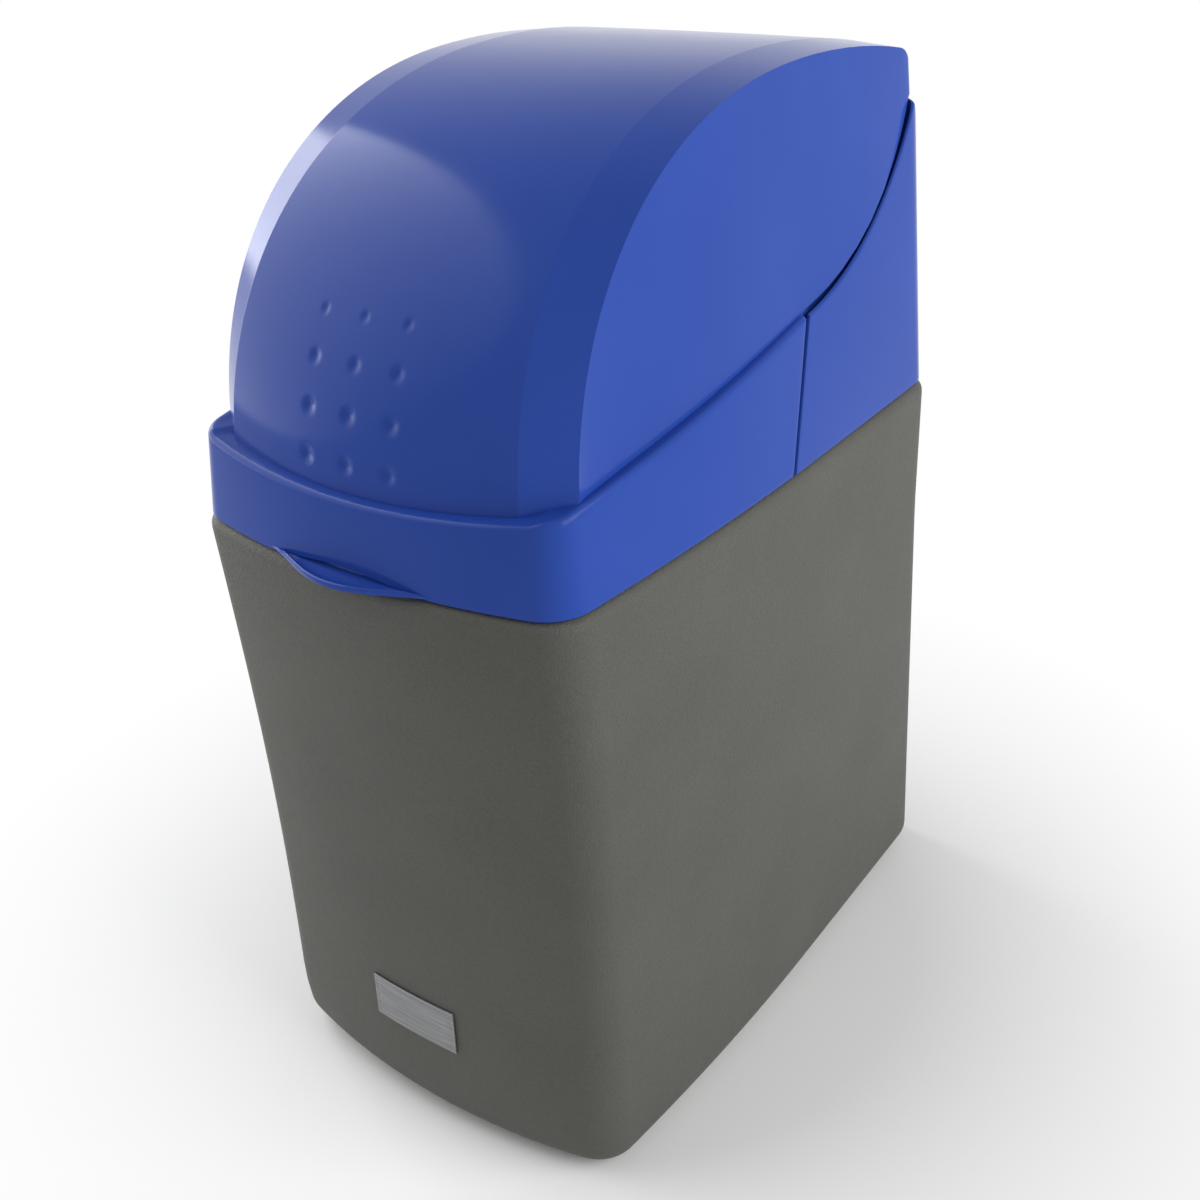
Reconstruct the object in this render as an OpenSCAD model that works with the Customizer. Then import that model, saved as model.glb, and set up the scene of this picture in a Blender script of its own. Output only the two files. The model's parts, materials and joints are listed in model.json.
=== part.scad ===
// Compact cabinet water softener: a grained tank under a two-piece hood, with the resin vessel,
// rotary control valve and brine gear inside. Millimetres, +Z up, front faces -Y.

/* [Cabinet] */
// Width across the skirt of the hood, at the rim
hood_w = 256; // [240:1:290]
// Height of the cabinet, floor to shoulder
body_h = 358; // [330:1:420]
// Distance from the side datum to the front of the rim
front_reach = 221; // [205:1:250]
// Distance from the side datum to the rear of the hood
back_reach = 148; // [140:1:175]
// How far the cabinet stands proud of the hood all round
shoulder_out = 2; // [1:0.5:4]
// Wall of the cabinet
body_wall = 4; // [3:0.5:5]
// Thickness of the cabinet floor
floor_t = 6; // [4:0.5:8]
// Rounding under the cabinet
foot_r = 18; // [12:1:20]
// Rounding of the cabinet shoulder
shoulder_r = 7; // [5:0.5:8]
// How far the front waist is drawn in at half height
front_hollow = 5.8; // [0:0.2:8]
// How far the front foot is tucked back
front_tuck = 7; // [0:0.5:12]
// How far the back leans out at the floor
back_lean = 18; // [0:0.5:20]
// How far each side spreads out at the floor
side_flare = 2; // [0:0.5:3]
// Height of the upstand inside the skirt
upstand_h = 15; // [10:1:20]

/* [Plan outline] */
// Radius of the bowed sides
side_bow_r = 1822; // [1200:10:3000]
// Radius of the front corners
corner_r = 24; // [22:1:34]
// Radius of the bowed front
front_bow_r = 420; // [350:5:600]
// Radius of the rear corners
rear_r = 22; // [21:1:30]

/* [Hood] */
// Wall of the hood pieces
hood_wall = 3; // [2.5:0.25:4]
// Gap between the skirt and the shoulder
rim_gap = 0.1; // [0.1:0.1:1]
// Draft of the hood sides, rise per length
hood_draft = 0.125; // [0.1:0.005:0.15]
// Draft of the rear cover at its rear corners
rear_draft = 0.08; // [0.05:0.005:0.12]
// How much the lid widens towards its rear end
lid_flare = 4.5; // [0:0.5:6]
// Height of the skirt at the front
band_front_h = 37.7; // [32:0.1:45]
// Rise of the ledge round the front corners
ledge_corner_rise = 7.4; // [5:0.1:10]
// Rise of the ledge along each side, per length
ledge_slope = 0.09; // [0.06:0.01:0.12]
// Upward sweep of the ledge over the first 100 mm of each side
ledge_sweep = 2.7; // [2:0.1:3.5]
// Height of the dome spring line above the rim
spring_h = 17.5; // [14:0.5:22]
// Height of the dome above its spring line
dome_h = 182; // [170:0.2:200]
// Place of the dome crest behind the side datum
crest_y = 22.6; // [10:0.2:35]
// Set-back of the dome front from the rim
dome_set = 9.2; // [7:0.1:11]
// Bow of the front panel between its creases, at its foot
panel_bow = 13; // [10:0.1:18]
// How much that bow grows towards the crest
bow_growth = 7; // [3:0.1:9]
// Flattening of the front panel's middle at half height
panel_flat = 8; // [0:0.5:10]
// Crown of the top panel between its creases
panel_crown = 0.4; // [0:0.1:2]
// Set-back of the bevel strips at their foot
strip_set = 16.6; // [12:0.1:20]
// Width of the bevel strips at their foot
strip_w = 20.2; // [16:0.1:24]
// How much the strips widen towards the crest
strip_growth = 7.5; // [4:0.1:10]
// Fall of the strips beside the crest
strip_fall = 2.6; // [0.5:0.1:4]
// Inset of the lid's side walls at the rim, beside the front
side_in = 10; // [8:0.1:11]
// Inset of the lid's side walls at the rim, at the seam
seam_in = 7.5; // [6:0.1:9]
// Fall of the roof over the first 100 mm behind the crest
roof_fall = 10.3; // [5:0.1:14]
// Rear end of the lid behind the side datum
lid_rear = 132; // [128:0.5:136]
// Reach of the finger lip
lip_out = 12; // [8:0.5:15]
// Half width of the finger lip
lip_half = 58; // [45:1:70]
// Thickness of the finger lip
lip_t = 3.4; // [2.5:0.1:4.5]

/* [Seam] */
// Width of the seam between the lid and the rear cover
seam_gap = 1.6; // [1:0.1:2.5]
// Where the seam leaves the rim
seam_y = -21; // [-35:1:-10]
// Lean of the straight seam, run per rise
seam_lean = 0.37; // [0.2:0.01:0.45]
// Radius of the curved seam
seam_r = 168; // [160:1:175]
// Height of the rear cover above the rim
cover_h = 160; // [150:1:164]
// Wall of the rear cover
cover_wall = 5.4; // [4:0.1:5.5]
// Rounding of the cover's rear edge
cover_r = 12; // [8:0.5:14]

/* [Hinge] */
// Radius of the hinge pins
pin_r = 1.8; // [1.5:0.1:2.2]
// Radius of the hinge knuckles
knuckle_r = 4.2; // [3.8:0.1:5]
// Distance of each hinge from the middle
hinge_x = 59; // [45:1:75]
// Length of the lid's knuckle
knuckle_l = 10; // [8:0.5:14]
// Running clearance of pins and shafts
run_fit = 0.05; // [0.02:0.01:0.08]

/* [Vessel and valve] */
// Outside radius of the resin vessel
vessel_r = 70; // [60:1:74]
// Place of the vessel axis behind the side datum
vessel_y = 62; // [60:1:66]
// Depth of the vessel neck below the shoulder
neck_drop = 16; // [10:1:25]
// Wall of the vessel
vessel_wall = 3.5; // [2.5:0.25:5]
// Outside radius of the vessel neck
neck_r = 36; // [34:1:40]
// Outside radius of the riser tube
riser_r = 13.3; // [12:0.1:15]
// Radius of the valve body
valve_r = 40; // [39:0.5:44]
// Height of the valve body
valve_h = 80; // [74:1:90]
// Outside radius of the pipe threads
thread_r = 13.2; // [12:0.1:15]
// Reach of the pipe connectors behind the hood
port_out = 24; // [20:1:30]
// Distance of each pipe connector from the middle
port_x = 34; // [30:1:38]
// Outside radius of the hose spigots
hose_r = 6.5; // [5:0.5:8]
// Gear module of the valve drive
gear_m = 1.25; // [1:0.05:1.3]
// Teeth of the drive gear
gear_teeth = 48; // [44:4:52]
// Teeth of the motor pinion
pinion_teeth = 12; // [11:1:13]

/* [Controls] */
// Width of the control housing
panel_w = 156; // [140:2:170]
// Wall of the control housing
panel_wall = 2.5; // [2:0.25:3]
// Width of the display
display_w = 64; // [50:1:80]
// Height of the display
display_h = 24; // [18:1:26]
// Radius of the push buttons
button_r = 5.8; // [5:0.1:6.5]
// Spacing of the push buttons
button_pitch = 30; // [24:1:32]
// Travel of the push buttons
button_travel = 1.5; // [1:0.1:1.8]

/* [Brine] */
// Radius of the brine well
well_r = 42; // [36:1:44]
// Distance of the brine well's axis from the hood's side
well_side = 58; // [54:1:64]
// Place of the brine well from the side datum
well_y = -66; // [-72:1:-60]
// Depth of the brine well's top below the shoulder
well_drop = 16; // [12:1:30]
// Radius of the float
float_r = 26; // [20:1:30]
// Travel of the float
float_travel = 28; // [20:1:35]
// Height of the salt grid above the floor
grid_h = 54; // [40:1:70]
// Depth of the overflow below the shoulder
overflow_drop = 61; // [50:1:75]

/* [Label] */
// Width of the label plate
label_w = 59; // [40:1:70]
// Height of the label plate
label_h = 29; // [20:1:35]
// Height of the label plate above the base
label_z = 63; // [50:1:90]
// Thickness of the label plate
label_t = 1.2; // [0.8:0.1:2]

/* [Hidden] */
$fn = 48;
eps = 0.3;
half_w = hood_w / 2;
rim_z = body_h + rim_gap;
frame_y = (front_reach + lip_out - back_reach - port_out) / 2;

// Plan outline: bowed sides, round corners and a bowed front that meet tangentially
function corner_x(p) = half_w - side_bow_r + (side_bow_r - corner_r) * cos(p);
function front_angle(p) = acos(corner_x(p) / (front_bow_r - corner_r));
function side_angle(p, n) = n == 0 ? p : side_angle(
    asin((front_reach - front_bow_r + (front_bow_r - corner_r) * sin(front_angle(p)))
    / (side_bow_r - corner_r)), n - 1);
side_a = side_angle(asin((front_reach - corner_r) / side_bow_r), 8);
front_a = front_angle(side_a);
corner_c = [corner_x(side_a), -(side_bow_r - corner_r) * sin(side_a)];
front_c = [0, front_bow_r - front_reach];
function on_arc(c, r, a0, a1, n, i0) =
    [for (i = [i0:n]) let (a = a0 + (a1 - a0) * i / n)
    [c[0] + r * cos(a), c[1] - r * sin(a), cos(a), -sin(a)]];
front_half = concat(
    on_arc(front_c, front_bow_r, 90, front_a, 8, 0),
    on_arc(corner_c, corner_r, front_a, side_a, 6, 1),
    on_arc([half_w - side_bow_r, 0], side_bow_r, side_a, 0, 6, 1));
rear_half = on_arc([half_w - rear_r, back_reach - rear_r], rear_r, 0, -90, 6, 0);
full_half = concat(front_half, rear_half);
band_half = concat(front_half, [[half_w, 40, 1, 0]]);
cover_half = concat([[0, -80, 0, -1], [half_w, -60, 1, 0], [half_w, 0, 1, 0]], rear_half);
function inset(p, d) = [p[0] - d * p[2], p[1] - d * p[3]];
function mirrored(q) = [for (i = [len(q) - 1:-1:1]) [-q[i][0], q[i][1], q[i][2]]];
function ring(q) = concat(q, mirrored(q));
function level(half, d, z) = ring([for (p = half) let (q = inset(p, d)) [q[0], q[1], z]]);
function rim_y(x) = front_bow_r - front_reach - sqrt(front_bow_r * front_bow_r - x * x);
function side_x(y) = y > 0 ? half_w : half_w - side_bow_r + sqrt(side_bow_r * side_bow_r - y * y);

// A closed solid through mirrored rings: point 0 of each ring lies on the middle plane
module loft(rings) {
    n = len(rings[0]);
    m = len(rings);
    h = (n - 1) / 2;
    sides = [for (k = [0:m - 2]) for (i = [0:n - 1]) let (a = k * n + i, b = k * n + (i + 1) % n)
        each [[a, a + n, b + n], [a, b + n, b]]];
    low = [for (i = [0:h - 1]) each i == 0 ? [[0, 1, n - 1]]
        : [[i, i + 1, n - i - 1], [i, n - i - 1, n - i]]];
    high = [for (f = low) [for (j = [2:-1:0]) f[j] + (m - 1) * n]];
    polyhedron(points = [for (r = rings) each r], faces = concat(low, sides, high));
}

module placed() {
    translate([0, frame_y, 0]) children();
}

module rod_x(r, x0, x1, y, z) {
    translate([x0, y, z]) rotate([0, 90, 0]) cylinder(r = r, h = x1 - x0);
}

module rod_y(r, y0, y1, x, z) {
    translate([x, y0, z]) rotate([-90, 0, 0]) cylinder(r = r, h = y1 - y0);
}

module rod_z(r, z0, z1, x, y) {
    translate([x, y, z0]) cylinder(r = r, h = z1 - z0);
}

// Cabinet: outer wall up, over the shoulder and upstand, down the inner wall to the floor
tuck_h = 45;
function hollow(z) = front_hollow * sin(180 * min(max(z / body_h, 0), 1))
    + front_tuck * pow(max(1 - z / tuck_h, 0), 2);
function lean(y, z) = y > back_reach - rear_r - 1 ? back_lean * max(1 - z / lean_top, 0) : 0;
function cabinet_level(d, z) = ring([for (p = full_half) let (q = inset(p, d - shoulder_out))
    [q[0] + side_flare * p[2] * max(1 - z / body_h, 0),
    q[1] + hollow(z) * max(-q[1] / front_reach, 0) + lean(p[1], z), z]]);
upstand_gap = 0.7;
upstand_in = cover_wall + hood_draft * upstand_h + upstand_gap + shoulder_out;
upstand_z = body_h + upstand_h;
overflow_x = 50 - half_w;
overflow_z = body_h - overflow_drop;
overflow_r = 8;
overflow_flange = 6;
lean_gap = 6;
lean_top = overflow_z - overflow_r - overflow_flange - lean_gap;
wall_levels = concat([for (k = [1:4]) foot_r + (lean_top - foot_r) * k / 4], [body_h - shoulder_r]);
cabinet_rings = concat(
    [for (a = [0:22.5:90]) cabinet_level(foot_r * (1 - sin(a)), foot_r * (1 - cos(a)))],
    [for (z = wall_levels) cabinet_level(0, z)],
    [for (a = [30, 60, 90]) cabinet_level(shoulder_r * (1 - cos(a)),
        body_h - shoulder_r * (1 - sin(a)))],
    [cabinet_level(upstand_in, body_h), cabinet_level(upstand_in, upstand_z)],
    [cabinet_level(upstand_in + hood_wall, upstand_z),
        cabinet_level(upstand_in + hood_wall, body_h - body_wall - shoulder_r),
        cabinet_level(body_wall, body_h - 40)],
    [for (k = [3:-1:0]) cabinet_level(body_wall, wall_levels[k])],
    [cabinet_level(body_wall, floor_t + foot_r), cabinet_level(body_wall + 4, floor_t + 4),
        cabinet_level(foot_r, floor_t)]);

module cabinet() {
    color([0.36, 0.36, 0.34]) placed() difference() {
        loft(cabinet_rings);
        rod_y(overflow_r + eps, back_reach - 10, back_reach + 10, overflow_x, overflow_z);
        for (s = [-1, 1]) rod_y(screw_r + run_fit, back_reach - 20, back_reach, s * screw_x, screw_z);
    }
}

// Label plate laid on the bowed, slightly leaning front
label_seat = 0.18;
function label_row(z, out) = [for (i = [-6:6]) let (x = i * label_w / 12)
    [x, rim_y(x) - shoulder_out + hollow(z) - out, z]];
module label_plate() {
    bottom = concat(label_row(label_z, label_seat),
        [for (i = [12:-1:0]) label_row(label_z, label_seat + label_t)[i]]);
    top = concat(label_row(label_z + label_h, label_seat),
        [for (i = [12:-1:0]) label_row(label_z + label_h, label_seat + label_t)[i]]);
    n = len(bottom);
    h = n / 2;
    color([0.78, 0.79, 0.8]) placed() polyhedron(points = concat(bottom, top), faces = concat(
        [for (i = [0:n - 1]) each [[i, (i + 1) % n, (i + 1) % n + n], [i, (i + 1) % n + n, i + n]]],
        [for (i = [0:h - 2]) each [[i, n - 1 - i, n - 2 - i], [i, n - 2 - i, i + 1]]],
        [for (i = [0:h - 2]) each [[i + n, 2 * n - 2 - i, 2 * n - 1 - i],
            [i + n, i + 1 + n, 2 * n - 2 - i]]]));
}

// Skirt band: its top follows the ledge, which rises round the corners and along the sides
ledge_turn = front_reach - 16;
function ledge_h(y) = y < -ledge_turn
    ? band_front_h + ledge_corner_rise * (y + front_reach) / (front_reach - ledge_turn)
    : band_front_h + ledge_corner_rise + ledge_slope * (y + ledge_turn)
    + ledge_sweep * pow((y + ledge_turn) / 100, 2);
function band_ring(h0, in, share) = ring([for (p = band_half) let (h = h0 + share * ledge_h(p[1]),
    q = inset(p, in + hood_draft * max(h, 0))) [q[0], q[1], rim_z + h]]);

// Dome: three profiles of one family, for the middle, the inner crease and the outer crease
dome_e = 0.85;
dome_reach = front_reach + crest_y - dome_set;
outer_x = half_w - 17;
crease_in = 6;
crease_hollow = 8;
foot_back = 8;
flush_y = 90;
side_run = 150;
function pw(v) = pow(max(v, 0), dome_e);
function crease(u) = outer_x - crease_in * u - crease_hollow * u * (1 - u);
function foot_in(y) = y < 0 ? seam_in + (side_in - seam_in) * min(-y / side_run, 1)
    : seam_in * max(1 - y / flush_y, 0);
function dome_point(t, u, bow, crown, x, off) = [x,
    crest_y - (dome_reach - bow - off) * pw(cos(t)),
    rim_z + spring_h + (dome_h - crown - off) * pw(sin(t))];
function dome_row(t, off, base) = let (u = t / 90, xo = crease(u) - off,
    xi = crease(u) - strip_w - strip_growth * u - off / 3,
    out = dome_point(t, u, panel_bow + strip_set, panel_crown + strip_fall, xo, off))
    concat([for (k = [0:6]) let (w = pow(k / 6, 2), flat = 4 * panel_flat * u * (1 - u))
        dome_point(t, u, flat + (panel_bow + bow_growth * u - flat) * w, panel_crown * w, xi * k / 6, off)],
    [out, [side_x(out[1]) - foot_in(out[1]) - off, out[1] + foot_back * (1 - u), base]]);
function roof_row(y, off, base, drop) = let (f = roof_fall * pow((y - crest_y) / 100, 2) + drop,
    top = dome_row(90, off, base))
    [for (k = [0:8]) k == 8 ? [half_w - foot_in(y) - off, y, base]
        : [top[k][0] * (1 + lid_flare / outer_x * (y - crest_y) / (lid_rear - crest_y)), y, top[k][2] - f]];
function dome_rings(off, base) = let (q = dome_row(0, off, base), end = lid_rear - off)
    concat([ring([for (p = q) [p[0], p[1], base]])],
    [for (t = [0, 2, 6, 12, 20, 30, 40, 50, 60, 70, 78, 84, 90]) ring(dome_row(t, off, base))],
    [for (k = [1:4]) ring(roof_row(crest_y + (end - 9 - crest_y) * k / 4, off, base, 0))],
    [ring(roof_row(end - 3, off, base, 1.5)), ring(roof_row(end, off, base, 4.5))]);

// Seam in the side view: a leaning straight up to the ledge, then a curve up to the rear edge
seam_c = [-16, rim_z + 242.9];
cover_top = rim_z + cover_h;
function seam_arc(r, end_y) = let (a0 = 7.7, a1 = asin((end_y - seam_c[0]) / r))
    [for (i = [0:12]) let (a = a0 + (a1 - a0) * i / 12) seam_c + r * [sin(a), -cos(a)]];
module side_prism(points) {
    rotate([90, 0, 90]) linear_extrude(height = 2 * hood_w, center = true) polygon(points);
}
module lid_zone() {
    g = seam_gap / 2;
    side_prism(concat([[-2 * front_reach, rim_z - 20], [seam_y - g - 20 * seam_lean, rim_z - 20]],
        seam_arc(seam_r - g, lid_rear - 4),
        [[lid_rear - 1, cover_top + 2 * g], [lid_rear + 40, cover_top + 2 * g],
        [lid_rear + 40, rim_z + 300], [-2 * front_reach, rim_z + 300]]));
}
module cover_zone() {
    g = seam_gap / 2;
    c = [back_reach - cover_r, cover_top - cover_r];
    side_prism(concat([[seam_y + g - 20 * seam_lean, rim_z - 20]], seam_arc(seam_r + g, lid_rear - 3),
        [[lid_rear, cover_top]], [for (a = [90:-15:0]) c + cover_r * [cos(a), sin(a)]],
        [[back_reach, rim_z - 20]]));
}

hinge_y = back_reach - 11;
hinge_z = cover_top + knuckle_r + 0.6;
module knuckle(x0, x1) {
    for (s = [-1, 1]) rod_x(knuckle_r, min(s * x0, s * x1), max(s * x0, s * x1), hinge_y, hinge_z);
}
module hinge_bore() {
    for (s = [-1, 1]) rod_x(pin_r + run_fit, s * hinge_x - 20, s * hinge_x + 20, hinge_y, hinge_z);
}

module finger_lip() {
    bump = [for (i = [-12:12]) let (x = lip_half * i / 12)
        [x, rim_y(x) - lip_out * pow(cos(90 * i / 12), 2)]];
    back = [for (i = [12:-1:-12]) let (x = lip_half * i / 12) [x, rim_y(x) + hood_wall - 0.6]];
    translate([0, 0, rim_z + eps]) linear_extrude(height = lip_t) polygon(concat(bump, back));
}

module lid() {
    web_x = hinge_x - knuckle_l / 2;
    color([0.2, 0.3, 0.62]) placed() difference() {
        union() {
            intersection() {
                difference() {
                    union() {
                        loft([band_ring(0, 0, 0), band_ring(0, 0, 1)]);
                        loft(dome_rings(0, rim_z + 2));
                    }
                    loft([band_ring(-1, hood_wall, 0), band_ring(-hood_wall, hood_wall, 1)]);
                    loft(dome_rings(hood_wall, rim_z - 1.5));
                }
                lid_zone();
            }
            finger_lip();
            knuckle(web_x, web_x + knuckle_l);
            for (s = [-1, 1]) translate([s * hinge_x - knuckle_l / 2, lid_rear - 1.5, hinge_z - 0.6])
                cube([knuckle_l, hinge_y - lid_rear + 1.5, 4]);
        }
        hinge_bore();
    }
}

// Rear cover: a U of drafted walls below the curved seam, with a narrow roof at the rear
window_w = 2 * port_x + 48;
gland_x = half_w - 58;
gland_z = rim_z + 94;
gland_r = 6;
screw_r = 2;
screw_x = half_w - 38;
screw_z = body_h + upstand_h - 5;
function cover_level(in, h) = ring([for (p = cover_half) let (q = inset(p, in))
    [max(q[0] - (p[1] > 1 ? rear_draft : hood_draft) * h, 0), q[1], rim_z + h]]);
module cover_rings(in, low, high) {
    loft([cover_level(in, low), cover_level(in, high)]);
}
module cover_hollow() {
    intersection() {
        cover_rings(cover_wall, -1, cover_h + 1);
        union() {
            side_prism([[-200, rim_z - 30], [lid_rear - 6, rim_z - 30], [lid_rear - 6, rim_z + 300],
                [-200, rim_z + 300]]);
            side_prism([[lid_rear - 20, rim_z - 30], [back_reach, rim_z - 30],
                [back_reach, cover_top - cover_r], [back_reach - cover_r, cover_top - hood_wall],
                [lid_rear - 20, cover_top - hood_wall]]);
        }
    }
}
module rear_cover() {
    ear = 5;
    inner = hinge_x - knuckle_l / 2 - eps - ear;
    outer = hinge_x + knuckle_l / 2 + eps;
    color([0.2, 0.3, 0.62]) placed() difference() {
        union() {
            difference() {
                intersection() {
                    cover_rings(0, 0, cover_h);
                    cover_zone();
                }
                cover_hollow();
            }
            knuckle(inner, inner + ear);
            knuckle(outer, outer + ear);
            for (s = [-1, 1]) for (x = [inner, outer])
                translate([s > 0 ? x : -x - ear, hinge_y - 3.5, cover_top - hood_wall])
                    cube([ear, 7, hood_wall + knuckle_r]);
        }
        hinge_bore();
        translate([-window_w / 2, back_reach - 12, port_z - 22]) cube([window_w, 24, 44]);
        rod_y(gland_r + eps, back_reach - 12, back_reach + 12, gland_x, gland_z);
        for (s = [-1, 1]) rod_y(screw_r + run_fit, back_reach - 12, back_reach + 12, s * screw_x, screw_z);
    }
}

module hinge_pins() {
    reach = knuckle_l / 2 + 6;
    color("silver") placed() for (s = [-1, 1])
        rod_x(pin_r, s * hinge_x - reach, s * hinge_x + reach, hinge_y, hinge_z);
}

module cover_screws() {
    color("silver") placed() for (s = [-1, 1]) {
        rod_y(2 * screw_r, back_reach, back_reach + 2.4, s * screw_x, screw_z);
        rod_y(screw_r, back_reach - 14, back_reach, s * screw_x, screw_z);
    }
}

module power_gland() {
    color([0.08, 0.08, 0.09]) placed() difference() {
        union() {
            rod_y(gland_r + 3, back_reach, back_reach + 3, gland_x, gland_z);
            rod_y(gland_r, back_reach - cover_wall - 6, back_reach, gland_x, gland_z);
        }
        rod_y(gland_r / 2, back_reach + 1.5, back_reach + 4, gland_x, gland_z);
    }
}

module gland_nut() {
    color([0.15, 0.15, 0.16]) placed() difference() {
        translate([gland_x, back_reach - cover_wall - 4.5, gland_z]) rotate([-90, 0, 0])
            cylinder(r = gland_r + 4, h = 4.5, $fn = 6);
        rod_y(gland_r + run_fit, back_reach - 12, back_reach, gland_x, gland_z);
    }
}

// Resin vessel, standing in its boot on the floor
boot_h = 38;
vessel_z = floor_t + 6;
neck_z = body_h - neck_drop;
dome_v = 40;
neck_l = 24;
function tank_half(off) = concat([[0, vessel_z + off]],
    [for (a = [15:15:90]) [(vessel_r - off) * sin(a), vessel_z + dome_v - (dome_v - off) * cos(a)]],
    [for (a = [0:15:60]) [neck_r - off + (vessel_r - neck_r) * cos(a),
        neck_z - neck_l - dome_v + (dome_v - off) * sin(a)]],
    [[neck_r - off, neck_z - neck_l]]);
module vessel() {
    bore = neck_r - 9;
    color([0.16, 0.17, 0.19]) placed() translate([0, vessel_y, 0]) difference() {
        union() {
            rotate_extrude() polygon(concat(tank_half(0), [[0, neck_z - neck_l]]));
            rod_z(neck_r, neck_z - neck_l - 6, neck_z, 0, 0);
        }
        rotate_extrude() polygon(concat(tank_half(vessel_wall), [[0, neck_z - neck_l]]));
        rod_z(bore, neck_z - neck_l - 20, neck_z + 1, 0, 0);
    }
}

module vessel_boot() {
    gap = -0.2;
    color([0.07, 0.07, 0.08]) placed() translate([0, vessel_y, floor_t]) difference() {
        rod_z(vessel_r, 0, boot_h, 0, 0);
        translate([0, 0, -floor_t]) rotate_extrude() polygon(concat(tank_half(gap), [[0, neck_z]]));
        rod_z(vessel_r / 2, -1, boot_h, 0, 0);
    }
}

basket_top = vessel_z + 50;
basket_r = 22;
module riser_tube() {
    color("white") placed() translate([0, vessel_y, 0]) difference() {
        rod_z(riser_r, basket_top - 10, neck_z + 12, 0, 0);
        rod_z(riser_r - 2.3, basket_top - 11, neck_z + 13, 0, 0);
    }
}

module slotted(r, z0, z1, bore) {
    difference() {
        rod_z(r, z0, z1, 0, 0);
        rod_z(bore, z0 + 3, z1 + 1, 0, 0);
        for (k = [0:5]) rotate([0, 0, k * 30]) translate([-r - 1, -1, z0 + 6])
            cube([2 * r + 2, 2, z1 - z0 - 16]);
    }
}

module lower_basket() {
    color([0.85, 0.85, 0.8]) placed() translate([0, vessel_y, 0])
        slotted(basket_r, vessel_z + vessel_wall + 8, basket_top, riser_r + run_fit);
}

module upper_basket() {
    r = neck_r - 10;
    color([0.85, 0.85, 0.8]) placed() translate([0, vessel_y, 0]) difference() {
        slotted(r, neck_z - 36, neck_z, r - 3);
        rod_z(riser_r + run_fit, neck_z - 40, neck_z, 0, 0);
    }
}

module resin_bed() {
    fill = 0.62 * neck_z;
    r = vessel_r - vessel_wall - eps;
    color([0.55, 0.34, 0.12]) placed() translate([0, vessel_y, 0]) difference() {
        union() {
            rod_z(r, vessel_z + dome_v, fill, 0, 0);
            translate([0, 0, vessel_z + 12]) cylinder(r1 = r * 0.6, r2 = r, h = dome_v - 12);
        }
        rod_z(basket_r + eps, 0, basket_top + eps, 0, 0);
        rod_z(riser_r + eps, 0, fill + 1, 0, 0);
    }
}

// Rotary valve on the vessel neck, with its manifold to the rear
valve_top = neck_z + valve_h;
port_z = neck_z + 58;
manifold_d = 54;
manifold_side = 22;
manifold_h = 40;
manifold_y = vessel_y + manifold_d;
chamber_r = valve_r - 10;
chamber_z = neck_z + 50;
shaft_r = 6;
seal_r = neck_r - 4.5;
brine_rise = 26;
brine_z = neck_z + brine_rise;
module valve_body() {
    color([0.12, 0.12, 0.13]) placed() difference() {
        union() {
            rod_z(neck_r + 10, neck_z, neck_z + 12, 0, vessel_y);
            rod_z(valve_r, neck_z, valve_top, 0, vessel_y);
            translate([-port_x - manifold_side, vessel_y, port_z - manifold_h / 2])
                cube([2 * (port_x + manifold_side), manifold_d, manifold_h]);
            rod_x(7, -valve_r - 20, 0, vessel_y, brine_z);
        }
        rod_z(chamber_r, chamber_z, valve_top + 1, 0, vessel_y);
        rod_z(riser_r + run_fit, neck_z - 1, neck_z + 14, 0, vessel_y);
        rod_z(riser_r - 3, neck_z, chamber_z + 1, 0, vessel_y);
        rotate_seal();
        for (s = [-1, 1]) rod_y(9.2, vessel_y + 30, manifold_y + 1, s * port_x, port_z);
        rod_y(hose_r - 2, vessel_y, manifold_y + 1, 0, port_z);
        rod_x(3, -valve_r - 21, -20, vessel_y, brine_z);
        screw_ring() rod_z(screw_r + run_fit, valve_top - 12, valve_top + 1, 0, 0);
    }
}
module rotate_seal() {
    translate([0, vessel_y, neck_z - 1]) difference() {
        rod_z(seal_r + 2, 0, 4.6, 0, 0);
        rod_z(seal_r - 2, -1, 5, 0, 0);
    }
}
module screw_ring() {
    for (k = [0:5]) translate([0, vessel_y, 0]) rotate([0, 0, 30 + 60 * k])
        translate([valve_r - 5, 0, 0]) children();
}

module torus(major, minor) {
    rotate_extrude() translate([major, 0]) circle(r = minor);
}
module neck_seal() {
    color([0.05, 0.05, 0.05]) placed() translate([0, vessel_y, neck_z + 1.8]) torus(seal_r, 1.75);
}

bonnet_t = 6;
deck_z = valve_top + bonnet_t;
gear_z = deck_z + 10.3;
gear_t = 8;
frame_z = gear_z + gear_t + 3;
frame_t = 3;
gear_r = gear_m * gear_teeth / 2;
pinion_r = gear_m * pinion_teeth / 2;
pinion_x = gear_r + pinion_r;
module bonnet() {
    color([0.2, 0.2, 0.22]) placed() difference() {
        union() {
            rod_z(valve_r + 3, valve_top, deck_z, 0, vessel_y);
            rod_z(12, valve_top, deck_z + 10, 0, vessel_y);
        }
        rod_z(shaft_r + run_fit, valve_top - 1, deck_z + 11, 0, vessel_y);
        rod_z(shaft_r + 3, valve_top - 1, valve_top + 3, 0, vessel_y);
        screw_ring() rod_z(screw_r + 0.2, valve_top - 1, deck_z + 1, 0, 0);
    }
}

module shaft_seal() {
    color([0.05, 0.05, 0.05]) placed() difference() {
        rod_z(shaft_r + 2.9, valve_top + 0.2, valve_top + 2.8, 0, vessel_y);
        rod_z(shaft_r + eps, valve_top, valve_top + 4, 0, vessel_y);
    }
}

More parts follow.
